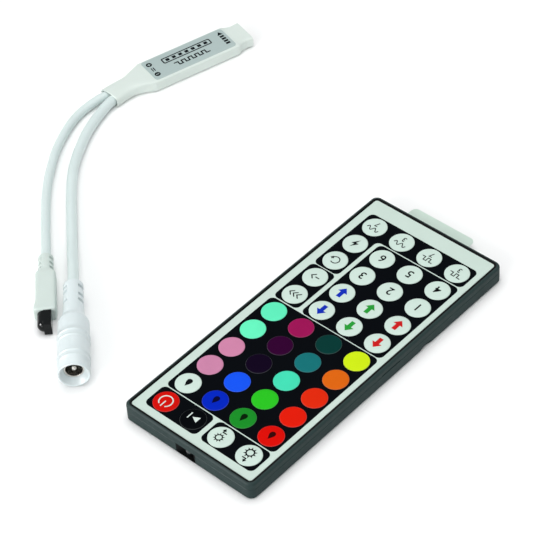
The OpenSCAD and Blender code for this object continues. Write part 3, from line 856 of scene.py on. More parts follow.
@dataclass(frozen=True)
class BoardFinish(Finish):
    """Green circuit board with tracks, whose other parts are coloured by where they stand.

    Attributes:
        parts: Boxes (low, high, colour, metallic) in millimetres, on the board's own axes.
        place: Where those axes stand.
        cell: Size of the fields that the tracks go round.
        track_step, track_share: A track's distance from the next and its width, as shares of a field.
        track_h: How far a track stands out.
    """

    patches: Pair = (2.0, 2.0)
    duller: Pair = (0.05, 0.08)
    parts: tuple[tuple[Triple, Triple, Colour, float], ...] = ()
    place: Place = Place()
    cell: float = 2.4
    track_step: float = 0.09
    track_share: float = 0.02
    track_h: float = 0.03

    def lay(self, graph: Graph) -> None:
        """Lays the green lacquer and its tracks, then each part over them.

        Args:
            graph: The material's nodes.
        """
        cells = graph.node("TexVoronoi", Vector=graph.place, Scale=1 / (self.cell * MM))
        cells.feature, cells.distance = "F1", "MANHATTAN"
        bands = graph.sum("PINGPONG", cells.outputs["Distance"], self.track_step)
        track = graph.sum("LESS_THAN", bands, self.track_share)
        colour, metal = graph.blend(track, self.base(graph), self.shade(0.7)), 0.0
        for low, high, tint, metallic in self.parts:
            share = graph.within(low, high, self.place)
            colour = graph.blend(share, colour, tint)
            metal = graph.sum("MAXIMUM", metal, graph.sum("MULTIPLY", share, metallic))
        graph.set(Base_Color=colour, Metallic=metal, Roughness=self.dulled(graph))
        graph.relief([(track, self.track_h), *self.heights(graph)])


# CASE and DRAWER both carry CasePlastic's black painted shade round the film and in the emitter's window
CASE = CasePlastic("case_dark_plastic", (0.023, 0.0415, 0.0405), rough=0.5, mottle=0.06, grain=0.16,
                   depth=0.02, shine=0.1)
DRAWER = replace(CASE, name="drawer_dark_plastic", colour=(0.023, 0.042, 0.041), rough=0.52, mottle=0.08,
                 shine=0.12)
FILM = PrintedFilm("film_pale", (0.53, 0.64, 0.58), rough=0.42, mottle=0.02, depth=0.002, shine=0.2)
INK_BLACK = PrintedFilm("ink_black", (0.0008, 0.0016, 0.003), rough=0.45, mottle=0.1, depth=0.002, shine=0.02,
                        coat=0.0)
SLEEVE = SoftWhite("shrunk_sleeve_white", (0.63, 0.70, 0.66), rough=0.42, mottle=0.015, grain=0.5,
                   depth=0.004, stretch=(0.12, 1.0, 1.0), wrinkle=0.03)
MOULDING = SoftWhite("moulding_white", (0.64, 0.71, 0.72), rough=0.45, mottle=0.015, grain=0.25, depth=0.006)
EYE_MOULDING = replace(MOULDING, name="eye_moulding_white", colour=(0.57, 0.65, 0.615), rough=0.42,
                       depth=0.005)
JACKET = SoftWhite("lead_jacket_white", (0.62, 0.71, 0.70), rough=0.4, mottle=0.02, grain=0.35, depth=0.004,
                   stretch=(0.06, 1.0, 1.0), wrinkle=0.02, course=True)
LABEL = Metal("label_silver", (0.40, 0.49, 0.48), rough=0.42, mottle=0.03, grain=0.2, depth=0.001,
              stretch=(0.08, 1.0, 1.0), metallic=0.25)
LABEL_INK = Finish("label_ink", (0.008, 0.010, 0.012), rough=0.45, mottle=0.1, grain=0.2, depth=0.002,
                   shine=0.06)
NICKEL = Metal("contact_nickel", (0.62, 0.60, 0.56), rough=0.25, mottle=0.05, grain=0.15, depth=0.002)
STEEL = Metal("cell_steel", (0.62, 0.62, 0.61), rough=0.28, mottle=0.06, grain=0.2, depth=0.002)
EMITTER = ClearResin("emitter_resin", (0.022, 0.027, 0.03), rough=0.06, mottle=0.1, depth=0.004, shine=0.9)
RECEIVER = replace(EMITTER, name="receiver_black", colour=(0.002, 0.003, 0.0035), rough=0.1, shine=0.12)
TAB = TabFilm("tab_film", (0.67, 0.80, 0.72), rough=0.4, mottle=0.02, grain=0.4, depth=0.004)
FLOOR = Finish("floor_pale", (0.95, 0.95, 0.95), rough=0.7, mottle=0.0, depth=0.0, shine=0.1)
LEAD_ENDS, BLACK_RESIN = (0.75, 0.8, 0.79), (0.01, 0.011, 0.012)
BRASS, BRIGHT_STEEL = (0.6, 0.45, 0.2), (0.6, 0.6, 0.58)


# Signs: outlines in millimetres, x to the reader's right and y up


def ring_line(radius: float, start: float = 0.0, end: float = 360.0, count: int = 28) -> Array:
    """Points on a circle about the origin.

    Args:
        radius: The circle's radius.
        start: The angle of the first point, in degrees.
        end: The angle at which they end.
        count: How many points there are.

    Returns:
        The points, without the first one's repeat on a whole circle.
    """
    whole = end - start >= 360
    a = np.radians(np.linspace(start, end, count, endpoint=not whole))
    return radius * beside(np.cos(a), np.sin(a))


def stroke(path: Array, width: float, closed: bool = False) -> Shape:
    """The outline of a line of one width.

    Each point p gives p + m w/2 and p - m w/2, where m = (n1 + n2) / (1 + n1.n2) joins the normals n1 and n2
    of the sides that meet there. Open ends are rounded.

    Args:
        path: The points that the line follows.
        width: Its width.
        closed: Whether it runs back to its start.

    Returns:
        One outline, or an outer and an inner one.
    """
    on = (np.roll(path, -1, axis=0) if closed else path[1:]) - (path if closed else path[:-1])
    on = unit(on)
    normal = beside(-on[:, 1], on[:, 0])
    first = np.roll(normal, 1, axis=0) if closed else np.vstack([normal[:1], normal])
    second = normal if closed else np.vstack([normal, normal[-1:]])
    join = (first + second) / (1 + np.sum(first * second, axis=1, keepdims=True))
    left, right = path + join * width / 2, path - join * width / 2
    if closed:
        return [left, right]
    arc = np.radians(np.linspace(90, -90, 7))[1:-1]
    ahead = beside(np.cos(arc), np.sin(arc)) * width / 2

    def cap(at: Array, along: Array) -> Array:
        """A half circle past an end."""
        return at + ahead[:, :1] * along + ahead[:, 1:] * np.array([-along[1], along[0]])

    return [np.vstack([left, cap(path[-1], on[-1]), right[::-1], cap(path[0], -on[0])])]


def moved(shapes: list[Shape], x: float = 0.0, y: float = 0.0, turn: float = 0.0,
          scale: float = 1.0) -> list[Shape]:
    """Shapes scaled, turned and moved, in that order.

    Args:
        shapes: The shapes.
        x: How far they move to the right.
        y: How far they move up.
        turn: Their turn to the left, in degrees.
        scale: Their scale.

    Returns:
        The moved shapes.
    """
    c, s = math.cos(math.radians(turn)), math.sin(math.radians(turn))
    spin = scale * np.array([[c, s], [-s, c]])
    return [[line @ spin + np.array([x, y]) for line in shape] for shape in shapes]


def rounded_box(width: float, height: float, radius: float, x: float = 0.0, y: float = 0.0) -> Outline:
    """A rectangle with round corners about (x, y)."""
    w, h = width / 2, height / 2
    return soften(np.array([[w, h], [-w, h], [-w, -h], [w, -h]]) + [x, y], radius, 6, closed=True)


class Sign(Enum):
    """The marks that a key may carry."""

    NONE = "none"
    POWER = "power"
    PLAY = "play and pause"
    BRIGHTER = "sun and up arrow"
    DIMMER = "sun and down arrow"
    DROP = "drop"
    UP = "up arrow"
    DOWN = "down arrow"
    FAST = "three chevrons"
    SLOW = "one chevron"
    LOOP = "turning arrow"
    BOLT = "bolt"
    STEP = "square wave"
    WAVE = "round wave"

    def shapes(self) -> list[Shape]:
        """The mark's shapes."""
        return SIGNS[self]()


BOLD_LINE = 0.42
FINE_LINE = 0.34
WINDOW_POINTS = 56


def filled(*corners: Pair) -> Shape:
    """A solid shape from its corners."""
    return [line_of(*corners)]


def dash(start: Pair, end: Pair, width: float = BOLD_LINE) -> Shape:
    """A straight line with round ends."""
    return stroke(line_of(start, end), width)


def block_arrow(length: float = 4.7, head: float = 3.8, stem: float = 1.55,
                slope: float = 0.58) -> list[Shape]:
    """A broad arrow that points up.

    Args:
        length: Its length.
        head: Width of its head.
        stem: Width of its stem.
        slope: How high the head is, as a share of its width.

    Returns:
        The arrow.
    """
    h, s = head / 2, stem / 2
    tip, neck, foot = length / 2, length / 2 - head * slope, -length / 2
    return [filled((0, tip), (-h, neck), (-s, neck), (-s, foot), (s, foot), (s, neck), (h, neck))]


def hooked_arrow() -> list[Shape]:
    """A thin arrow that turns a corner and points up."""
    bend = line_of((0.75, -0.45), (-0.3, -0.45), (-0.3, 0.1))
    return [stroke(bend, FINE_LINE), filled((-0.3, 0.8), (-0.9, 0.0), (0.3, 0.0))]


def sun(rays: int = 10) -> list[Shape]:
    """A ring with short rays.

    Args:
        rays: How many rays it has.

    Returns:
        The ring and its rays.
    """
    ray = [filled((1.1, -0.27), (1.85, 0.0), (1.1, 0.27))]
    turns = [360.0 / rays * k for k in range(rays)]
    return [stroke(ring_line(1.05), 0.36, True), *(s for turn in turns for s in moved(ray, turn=turn))]


def chevron() -> list[Shape]:
    """An angle that points right."""
    return [stroke(line_of((-0.55, 1.1), (0.55, 0.0), (-0.55, -1.1)), BOLD_LINE)]


def drop() -> list[Shape]:
    """A falling drop: x = w sin a |sin(a/2)|^1.5, y = h cos a."""
    a = circle_angles(40)
    return [[beside(1.45 * np.sin(a) * np.abs(np.sin(a / 2)) ** 1.5, 1.75 * np.cos(a))]]


def turning_arrow() -> list[Shape]:
    """An open circle with an arrow head."""
    head = [filled((-0.75, 0.0), (0.75, 0.0), (0.0, 1.0))]
    return [stroke(ring_line(1.55, 60, 360, 24), 0.38)] + moved(head, 1.55, -0.2, 180.0)


def square_wave(count: int = 2, step: float = 1.15, high: float = 0.75,
                width: float = FINE_LINE) -> list[Shape]:
    """A line that steps up and down.

    Args:
        count: How many times it does.
        step: Length of each level.
        high: How far the levels lie from the middle.
        width: The line's width.

    Returns:
        The line.
    """
    xs = np.repeat((np.arange(2 * count + 1) - count) * step, 2)[1:-1]
    ys = np.tile([high, high, -high, -high], count)
    return [stroke(beside(xs, ys), width)]


def round_wave(count: int = 2, step: float = 1.15, high: float = 0.75) -> list[Shape]:
    """A line y = h sin(pi x / step)."""
    x = np.linspace(-count * step, count * step, 16 * count + 1)
    return [stroke(beside(x, high * np.sin(np.pi * x / step)), FINE_LINE)]


SIGNS = {
    Sign.NONE: lambda: [],
    Sign.POWER: lambda: [stroke(ring_line(2.3, 125, 415, 36), BOLD_LINE), dash((0.1, 0.1), (0.1, 2.4))],
    Sign.PLAY: lambda: [filled((-1.7, 0.75), (0.76, -0.5), (-1.7, -1.75)),
                        dash((1.9, 0.7), (1.9, -1.7), 0.4)],
    Sign.BRIGHTER: lambda: moved(sun(), 0.26, -0.9, scale=1.25) + moved(hooked_arrow(), 0.2, 2.3, scale=1.25),
    Sign.DIMMER: lambda: moved(sun(), 0.3, 0.6, scale=1.06) + moved(hooked_arrow(), 0.25, -2.4, 180.0, 1.3),
    Sign.DROP: drop,
    Sign.UP: block_arrow,
    Sign.DOWN: lambda: moved(block_arrow(), turn=180.0),
    Sign.FAST: lambda: [s for k in (-1.5, 0.0, 1.5) for s in moved(chevron(), k)],
    Sign.SLOW: lambda: [*moved(chevron(), 0.9), dash((-1.6, 0.0), (-0.3, 0.0))],
    Sign.LOOP: turning_arrow,
    Sign.BOLT: lambda: [filled((0.7, 2.2), (-1.3, -0.35), (-0.15, -0.35),
                               (-0.7, -2.2), (1.3, 0.4), (0.15, 0.4))],
    Sign.STEP: lambda: moved(square_wave(), 0.0, 1.15),
    Sign.WAVE: lambda: moved(round_wave(), 0.0, 1.15),
}


def figure(text: str, height: float, low: float, high: float, bolder: float = 0.012) -> Skin:
    """A plain numeral as a plate about the origin.

    Args:
        text: The numeral.
        height: Height of the numeral.
        low: Level of its underside.
        high: Level of its top.
        bolder: How far its outline is moved out, as a share of the type's size.

    Returns:
        The plate.
    """
    curve = bpy.data.curves.new("figure", "FONT")
    curve.body, curve.size, curve.resolution_u = text, 1.0, 4
    curve.extrude, curve.offset = 0.5, bolder
    holder = added("figure", curve)
    bpy.context.view_layer.update()
    mesh = bpy.data.meshes.new_from_object(holder.evaluated_get(bpy.context.evaluated_depsgraph_get()))
    mesh.calc_loop_triangles()
    points = np.zeros(len(mesh.vertices) * 3)
    mesh.vertices.foreach_get("co", points)
    faces = np.zeros(len(mesh.loop_triangles) * 3, np.int32)
    mesh.loop_triangles.foreach_get("vertices", faces)
    bpy.data.objects.remove(holder)
    bpy.data.meshes.remove(mesh)
    bpy.data.curves.remove(curve)
    points = points.reshape(-1, 3)
    least, most = points.min(axis=0), points.max(axis=0)
    points = (points - (least + most) / 2) / (most - least)[1] * height
    points[:, 2] = np.where(points[:, 2] > 0, high, low)
    return Skin(points, [faces.reshape(-1, 3)])


def printed(shapes: list[Shape], low: float, high: float) -> list[Skin]:
    """Each shape as a thin plate."""
    return [plate(shape, low, high) for shape in shapes]


def clothe(node: str, finish: Finish) -> None:
    """Gives a solid of the part another finish and leaves its mesh alone.

    Args:
        node: The solid's name.
        finish: Its finish.
    """
    solid = frame["nodes"][node]
    solid.data.materials.clear()
    solid.data.materials.append(finish.material())


# The sub-assemblies


@dataclass(frozen=True)
class Lamp:
    """A square soft lamp.

    Attributes:
        name: Its name.
        at: Where it hangs, in metres.
        side: Its side, in metres.
        watts: Its power.
        tint: Its colour.
        gloss_only: Whether it shows in gloss alone and leaves the colours as they are.
    """

    name: str
    at: Triple
    side: float
    watts: float
    tint: Colour = (1.0, 1.0, 1.0)
    gloss_only: bool = False

    def hang(self, aim: Triple) -> None:
        """Hangs the lamp so that it looks at a point.

        Args:
            aim: The point, in metres.
        """
        light = bpy.data.lights.new(self.name, "AREA")
        light.size, light.energy, light.color = self.side, self.watts, self.tint
        thing = added(self.name, light)
        thing.location = self.at
        thing.rotation_mode = "QUATERNION"
        thing.rotation_quaternion = (Vector(aim) - Vector(self.at)).to_track_quat("-Z", "Y")
        thing.visible_diffuse = not self.gloss_only


@dataclass
class Studio:
    """The camera, the pale floor and the soft lights.

    Attributes:
        eye: Where the camera stands, in millimetres.
        right: The picture's right, as a direction.
        down: The picture's downward direction.
        lens, sensor: Focal length and the sensor's width, in millimetres.
        near, far: How near and how far the camera sees, in metres.
        floor: Half the side of the floor, in metres.
        under: How far the floor lies under the part, in metres.
        sky, sky_power: The sky's colour and power.
        aim: What the lamps look at, in metres.
        lamps: The lamps.
    """

    eye: Triple = (-382.9, -360.1, 550.2)
    right: Triple = (0.66668, -0.74350, -0.05237)
    down: Triple = (-0.54564, -0.43898, -0.71384)
    lens: float = 156.2
    sensor: float = 36.0
    near: float = 0.01
    far: float = 50.0
    floor: float = 6.0
    under: float = 4e-5
    sky: Colour = (0.97, 0.99, 1.0)
    sky_power: float = 0.6
    aim: Triple = (0.01, 0.05, 0.0)
    lamps: tuple[Lamp, ...] = (
        Lamp("lamp_over", (0.1, 0.12, 1.15), 1.0, 7.6, (1.0, 1.0, 0.99)),
        Lamp("lamp_left", (-1.1, -0.05, 0.42), 0.6, 5.8),
        Lamp("lamp_end_rim", (-1.0, 0.61, 0.66), 0.5, 42.0, gloss_only=True),
    )

    def clear(self) -> None:
        """Takes out what a new file holds, and keeps the part."""
        kept = set(frame["nodes"].values()) | set(frame["bodies"].values())
        for thing in [o for o in bpy.data.objects if o not in kept]:
            bpy.data.objects.remove(thing)

    def camera(self) -> None:
        """Stands the camera where the photograph was taken from."""
        lens = bpy.data.cameras.new("camera")
        lens.lens, lens.sensor_width = self.lens, self.sensor
        lens.clip_start, lens.clip_end = self.near, self.far
        thing = added("camera", lens)
        right = Vector(self.right).normalized()
        back = right.cross(-Vector(self.down)).normalized()
        up = back.cross(right)
        turn = Matrix((right, up, back)).transposed().to_4x4()
        thing.matrix_world = Matrix.Translation(Vector(self.eye) * MM) @ turn
        bpy.context.scene.camera = thing

    def build(self) -> None:
        """Sets up the floor, the sky and the lamps."""
        bpy.context.scene.view_settings.view_transform = "Standard"
        f, z = self.floor, -self.under
        mesh = bpy.data.meshes.new("floor")
        mesh.from_pydata([(-f, -f, z), (f, -f, z), (f, f, z), (-f, f, z)], [], [(0, 1, 2, 3)])
        mesh.materials.append(FLOOR.material())
        added("floor", mesh)
        sky = bpy.data.worlds.new("sky")
        bpy.context.scene.world = sky
        sky.use_nodes = True
        colour, power = sky.node_tree.nodes["Background"].inputs[:2]
        colour.default_value, power.default_value = (*self.sky, 1.0), self.sky_power
        for lamp in self.lamps:
            lamp.hang(self.aim)


@dataclass
class Lead:
    """A lead as it lies: a round jacket along a smooth route.

    Attributes:
        name: The piece's name.
        node: The solid that it stands for.
        across: The lead's diameter.
        route: The points that it lies through.
        leaves: Its heading where it leaves the sleeve.
        enters: Its heading where it enters the far end's moulding.
        far_end: What is on its far end; not used.
        step: Distance between the rings of its skin.
        sides: Points round it.
    """

    name: str
    node: str
    across: float
    route: Array
    leaves: Array
    enters: Array
    far_end: str
    step: float = 0.7
    sides: int = 32

    def centre(self) -> Array:
        """The route as a smooth curve with even steps.

        Between the points p1 and p2 it is the Catmull-Rom curve of p0 to p3, with one point more at each end
        on the line of the heading there, taken again at even distances along it.

        Returns:
            The curve's points.
        """
        first = self.route[0] - self.leaves * np.linalg.norm(self.route[1] - self.route[0])
        last = self.route[-1] + self.enters * np.linalg.norm(self.route[-1] - self.route[-2])
        p = np.vstack([first, self.route, last])
        t = np.linspace(0.0, 1.0, 16, endpoint=False)[None, :, None]
        p0, p1, p2, p3 = (p[k:len(p) - 3 + k, None] for k in range(4))
        curve = 0.5 * (2 * p1 + (p2 - p0) * t + (2 * p0 - 5 * p1 + 4 * p2 - p3) * t**2
                       + (3 * p1 - p0 - 3 * p2 + p3) * t**3)
        curve = np.vstack([curve.reshape(-1, 3), self.route[-1:]])
        run = run_along(curve)
        even = np.linspace(0.0, run[-1], int(run[-1] / self.step) + 1)
        return beside(*(np.interp(even, run, axis) for axis in curve.T))

    def build(self, carried: list[Thing]) -> Thing:
        """Carries a circle along the route: c + r (side cos a + up sin a), square to the way at each ring.

        Args:
            carried: The pieces on the lead's far end; not used.

        Returns:
            The jacket.
        """
        line = self.centre()
        way = np.gradient(line, axis=0)
        way[0], way[-1] = self.leaves, self.enters
        way = unit(way)
        side = unit(np.cross([0.0, 0.0, 1.0], way))
        up = np.cross(way, side)
        r, run = self.across / 2, run_along(line)
        cos, sin = np.cos(circle_angles(self.sides)), np.sin(circle_angles(self.sides))
        rings = line[:, None] + r * (side[:, None] * cos[:, None] + up[:, None] * sin[:, None])
        straight = beside(run[:, None], r * cos, r * sin)
        skin = sleeve_of(rings)
        ends = line_of((0, 0, 0), (run[-1], 0, 0))
        skin.course = np.vstack([straight.reshape(-1, 3), ends])
        made = piece(self.name, skin, JACKET)
        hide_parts(self.node)
        log.info("%s: %.1f mm long", self.name, run[-1])
        return made


@dataclass
class LabelMarks:
    """The label's generic marks: polarity, a strip of lamps, a pulse line, and the outlet's arrow.

    Attributes:
        left, right: Where the marks at the label's two ends stand.
        disc_r, disc_y: A polarity disc's radius and how far to the side it stands.
        reach, half: Half the length and half the width of the bars cut out of it.
        dashes: How far apart the three short dashes beside the long one are.
        middle: Where the strip and the pulse line are centred along the label.
        strip_y, strip_l, strip_w: The strip's place, length and width.
        line: Width of the strip's frame.
        lamp_l, lamp_w, lamp_step: Size of a lamp on it and the way to the next.
        pulse_y: The pulse line's place.
        arrow_foot, arrow_tip, arrow_half: The outlet arrow's levels and half its width.
        bar_l, bar_w, bars: Size of the outlet's bars and where they stand.
    """

    left: float
    right: float
    disc_r: float = 1.15
    disc_y: float = 3.2
    reach: float = 0.62
    half: float = 0.17
    dashes: float = 0.72
    middle: float = 0.2
    strip_y: float = 1.9
    strip_l: float = 21.0
    strip_w: float = 3.2
    line: float = 0.5
    lamp_l: float = 1.5
    lamp_w: float = 1.4
    lamp_step: float = 2.75
    pulse_y: float = -2.3
    arrow_foot: float = 2.6
    arrow_tip: float = 4.5
    arrow_half: float = 1.15
    bar_l: float = 1.8
    bar_w: float = 1.05
    bars: tuple[float, ...] = (1.5, 0.0, -1.5, -3.0)

    def polarity(self) -> list[Shape]:
        """A disc with a plus cut out, a sign of one long and three short dashes, and a disc with a minus.

        Returns:
            Their shapes.
        """
        r, h = self.reach, self.half
        cross = line_of((r, h), (h, h), (h, r), (-h, r), (-h, h), (-r, h),
                        (-r, -h), (-h, -h), (-h, -r), (h, -r), (h, -h), (r, -h))
        bar = line_of((r, h), (-r, h), (-r, -h), (r, -h))
        plus, minus = [[ring_line(self.disc_r), cross]], [[ring_line(self.disc_r), bar]]
        direct = [dash((0.4, -0.9), (0.4, 0.9))]
        direct += [dash((-0.4, y - 0.16), (-0.4, y + 0.16)) for y in (-self.dashes, 0.0, self.dashes)]
        x, y = self.left, self.disc_y
        return moved(plus, x, y) + moved(direct, x) + moved(minus, x, -y)

    def strip(self) -> list[Shape]:
        """A framed row of seven lamps.

        Returns:
            The frame and the lamps.
        """
        x, y, thick = self.middle, self.strip_y, 2 * self.line
        border = [rounded_box(self.strip_l, self.strip_w, 0.7, x, y),
                  rounded_box(self.strip_l - thick, self.strip_w - thick, 0.4, x, y)]
        places = [x + self.lamp_step * k for k in range(-3, 4)]
        return [border, *([rounded_box(self.lamp_l, self.lamp_w, 0.15, place, y)] for place in places)]

    def outlet(self) -> list[Shape]:
        """An arrow head and the bars under it.

        Returns:
            The head and the bars.
        """
        x, foot = self.right, self.arrow_foot
        head = filled((x - self.arrow_half, foot), (x + self.arrow_half, foot), (x, self.arrow_tip))
        return [head, *([rounded_box(self.bar_l, self.bar_w, 0.1, x, y)] for y in self.bars)]

    def shapes(self) -> list[Shape]:
        """All the marks."""
        pulse = moved(square_wave(5, 1.45, 0.85, 0.55), self.middle, self.pulse_y)
        return self.polarity() + self.strip() + pulse + self.outlet()


@dataclass
class Controller:
    """The in-line controller: shrunk sleeve, label and the marks on it, and the board inside.

    Attributes:
        place: Where the body's middle stands.
        length, width, height: The body's size.
        wall: Thickness of the sleeve.
        neck: Length of the neck round the leads.
        neck_w, mouth_w, neck_h: Widths at the neck's waist and mouth, and its height.
        bend: How far the neck's mouth bends sideways.
        outlet, outlet_w, outlet_h: Length, width and height of the sleeve round the outlet.
        waist: How much narrower the sleeve is just past the body.
        lead_in: How far inside the neck's mouth the leads begin.
        label_l, label_w, label_t: The label's size.
        label_r, label_under: Radius of its corners and how far its underside sinks into the sleeve.
        margins: How far inside the label's two ends the marks there stand.
        ink, ink_in: How far the marks stand out of the label and how far they go into it.
        square, neck_round, outlet_round: Exponent of the body's section, and how much less the neck's and the
            outlet's are.
        side: Points on one side of a section.
    """

    place: Place = Place(79.8, 132.9, 0.0, -15.5)
    length: float = 36.5
    width: float = 13.8
    height: float = 4.7
    wall: float = 0.45
    neck: float = 17.0
    neck_w: float = 8.6
    mouth_w: float = 9.2
    neck_h: float = 4.7
    bend: float = 1.9
    outlet: float = 6.5
    outlet_w: float = 11.6
    outlet_h: float = 4.2
    waist: float = 0.5
    lead_in: float = 1.0
    label_l: float = 35.0
    label_w: float = 12.0
    label_t: float = 0.1
    label_r: float = 1.3
    label_under: float = 0.05
    margins: Pair = (2.2, 2.0)
    ink: float = 0.02
    ink_in: float = 0.06
    square: float = 9.0
    neck_round: float = 5.6
    outlet_round: float = 1.0
    side: int = 26

    def stations(self) -> tuple[Array, ...]:
        """The sleeve's sections from the mouth of the neck to the outlet's end.

        Along the neck, with t from 1 at the mouth to 0 at the body, the width is
        w0 + (w - w0)(1 - t/0.5)^1.6 up to t = 0.5 and then w0 + (wm - w0)(2t - 1)^2; the middle bends by
        -b t^2. Along the outlet the width falls by a square root to its waist and then widens evenly.

        Returns:
            Each section's place along and beside the body, width, height, middle level and exponent.
        """
        t = 1 - np.linspace(0.0, 1.0, 64) ** 0.9
        near = np.clip(1 - t / 0.5, 0, 1) ** 1.6
        far = np.clip(2 * t - 1, 0, 1) ** 2
        ease = np.clip(t / 0.5, 0, 1)
        high = self.height + (self.neck_h - self.height) * ease
        neck = (
            -self.length / 2 - self.neck * t,
            -self.bend * t**2,
            self.neck_w + (self.width - self.neck_w) * near + (self.mouth_w - self.neck_w) * far,
            high,
            high / 2,
            self.square - self.neck_round * np.minimum(1.0, ease * 1.15),
        )
        x = np.linspace(-1, 1, 40)[1:]
        even = (np.full_like(x, size) for size in (self.width, self.height, self.height / 2, self.square))
        body = (x * self.length / 2, 0 * x, *even)
        s = np.linspace(0.0, 1.0, 36)[1:] ** 1.3
        drop = np.clip(s / 0.5, 0, 1) ** 0.5
        wide = np.where(s < 0.5, self.width + (self.outlet_w - self.waist - self.width) * drop,
                        self.outlet_w - self.waist + self.waist * (2 * s - 1))
        low = self.height + (self.outlet_h - self.height) * drop
        outlet = (self.length / 2 + self.outlet * s, 0 * s, wide, low, self.height / 2 + 0 * s,
                  self.square - self.outlet_round * drop)
        return tuple(np.concatenate(group) for group in zip(neck, body, outlet))

    def lead_start(self) -> Pair:
        """Where the leads begin, as a share t of the neck's length, and the angle of its middle there."""
        t = 1 - self.lead_in / self.neck
        return t, math.atan(2 * self.bend * t / self.neck)

    def lead_exit(self, side: float) -> Array:
        """Where a lead begins, beside the neck's bent middle: (-l/2 - n t, -b t^2) + side (-sin a, cos a).

        Args:
            side: How far beside the middle it lies.

        Returns:
            The point.
        """
        t, a = self.lead_start()
        x = -self.length / 2 - self.neck * t - side * math.sin(a)
        y = -self.bend * t**2 + side * math.cos(a)
        return self.place.put(np.array([x, y, self.neck_h / 2]))

    def lead_heading(self) -> Array:
        """The leads' direction where they begin."""
        return -Place(turn=self.place.turn + math.degrees(self.lead_start()[1])).heading()

    def rings(self, inset: float, stretch: float) -> Array:
        """The sleeve's rings, square to its middle line.

        Args:
            inset: How far they are drawn in.
            stretch: How far the two end rings are moved out.

        Returns:
            An array of shape (rings, points, 3).
        """
        x, y, w, h, mid, n = self.stations()
        x[[0, -1]] += (-stretch, stretch)
        ring_y, ring_z = box_ring(n, self.side)
        turn = np.arctan2(np.gradient(y), np.gradient(x))[:, None]
        across = ring_y * (w / 2 - inset)[:, None]
        up = mid[:, None] + ring_z * (h / 2 - inset)[:, None]
        return beside(x[:, None] - across * np.sin(turn), y[:, None] + across * np.cos(turn), up)

    def build_sleeve(self, lip_out: float = 0.08) -> Thing:
        """The sleeve as one thin wall: its outside, its inside and two round lips.

        Args:
            lip_out: How far the lips stand out at the two ends.

        Returns:
            The sleeve.
        """
        outer, inner = self.rings(0.0, 0.0), self.rings(self.wall, 0.0)
        lip = self.rings(self.wall / 2, lip_out)
        rings = np.concatenate([outer, lip[-1:], inner[::-1], lip[:1]])
        made = piece("sleeve_shrunk", sleeve_of(rings, closed=True).through(self.place), SLEEVE, sharp=60.0)
        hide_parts("shrink_sleeve")
        return made

    def build_label(self, rows: int = 61, cols: int = 21) -> Thing:
        """The label, laid over the sleeve's top: z = h/2 + h/2 (1 - |2y/w|^n)^(1/n) plus its thickness.

        Args:
            rows: Points along it.
            cols: Points across it.

        Returns:
            The label.
        """
        u, v = np.linspace(-1, 1, rows), np.linspace(-1, 1, cols)
        x = self.label_l / 2 * np.sin(u * np.pi / 2)
        past = np.clip(np.abs(x) - (self.label_l / 2 - self.label_r), 0, self.label_r)
        half = self.label_w / 2 - self.label_r + np.sqrt(np.maximum(self.label_r**2 - past**2, 0.0))
        xs, ys = np.broadcast_arrays(x[:, None], half[:, None] * v[None, :])
        crown = (1 - np.abs(2 * ys / self.width) ** self.square) ** (1 / self.square)
        top = self.height / 2 * (1 + crown) + self.label_t
        under = top - self.label_t - self.label_under
        sheets = np.vstack([beside(xs, ys, z).reshape(-1, 3) for z in (top, under)])
        k = np.arange(rows * cols).reshape(rows, cols)
        cells = beside(k[:-1, :-1], k[1:, :-1], k[1:, 1:], k[:-1, 1:]).reshape(-1, 4)
        edge = np.concatenate([k[0], k[1:, -1], k[-1, -2::-1], k[-2:0:-1, 0]])
        after = np.roll(edge, -1)
        rim = beside(edge, after, after + k.size, edge + k.size)
        skin = Skin(sheets, [cells, cells[:, ::-1] + k.size, rim])
        made = piece("label_plate", skin.through(self.place), LABEL, sharp=30.0)
        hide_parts("rating_label")
        return made

    def dress(self) -> None:
        """Prints the label and finishes the board inside."""
        top = self.height + self.label_t
        left, right = self.margins
        shapes = LabelMarks(left=-self.label_l / 2 + left, right=self.label_l / 2 - right).shapes()
        marks = joined(printed(shapes, top - self.ink_in, top + self.ink))
        piece("label_marks", marks.through(self.place), LABEL_INK)
        lead_ends = ((-40.0, -8.0, -1.0), (-16.9, 8.0, 6.0), LEAD_ENDS, 0.0)
        upper_parts = ((-16.9, -8.0, 2.37), (16.0, 8.0, 6.0), BLACK_RESIN, 0.0)
        lower_parts = ((-16.9, -8.0, -1.0), (14.0, 8.0, 1.33), BLACK_RESIN, 0.0)
        contact_block = ((14.2, -5.2, 1.05), (26.0, 5.2, 3.65), BLACK_RESIN, 0.0)
        contacts = ((17.7, -4.3, 1.85), (23.7, 4.3, 2.85), BRASS, 0.8)
        clothe("control_board", BoardFinish(
            "control_board_lacquer", (0.02, 0.16, 0.06), rough=0.35, place=self.place,
            parts=(lead_ends, upper_parts, lower_parts, contact_block, contacts)))


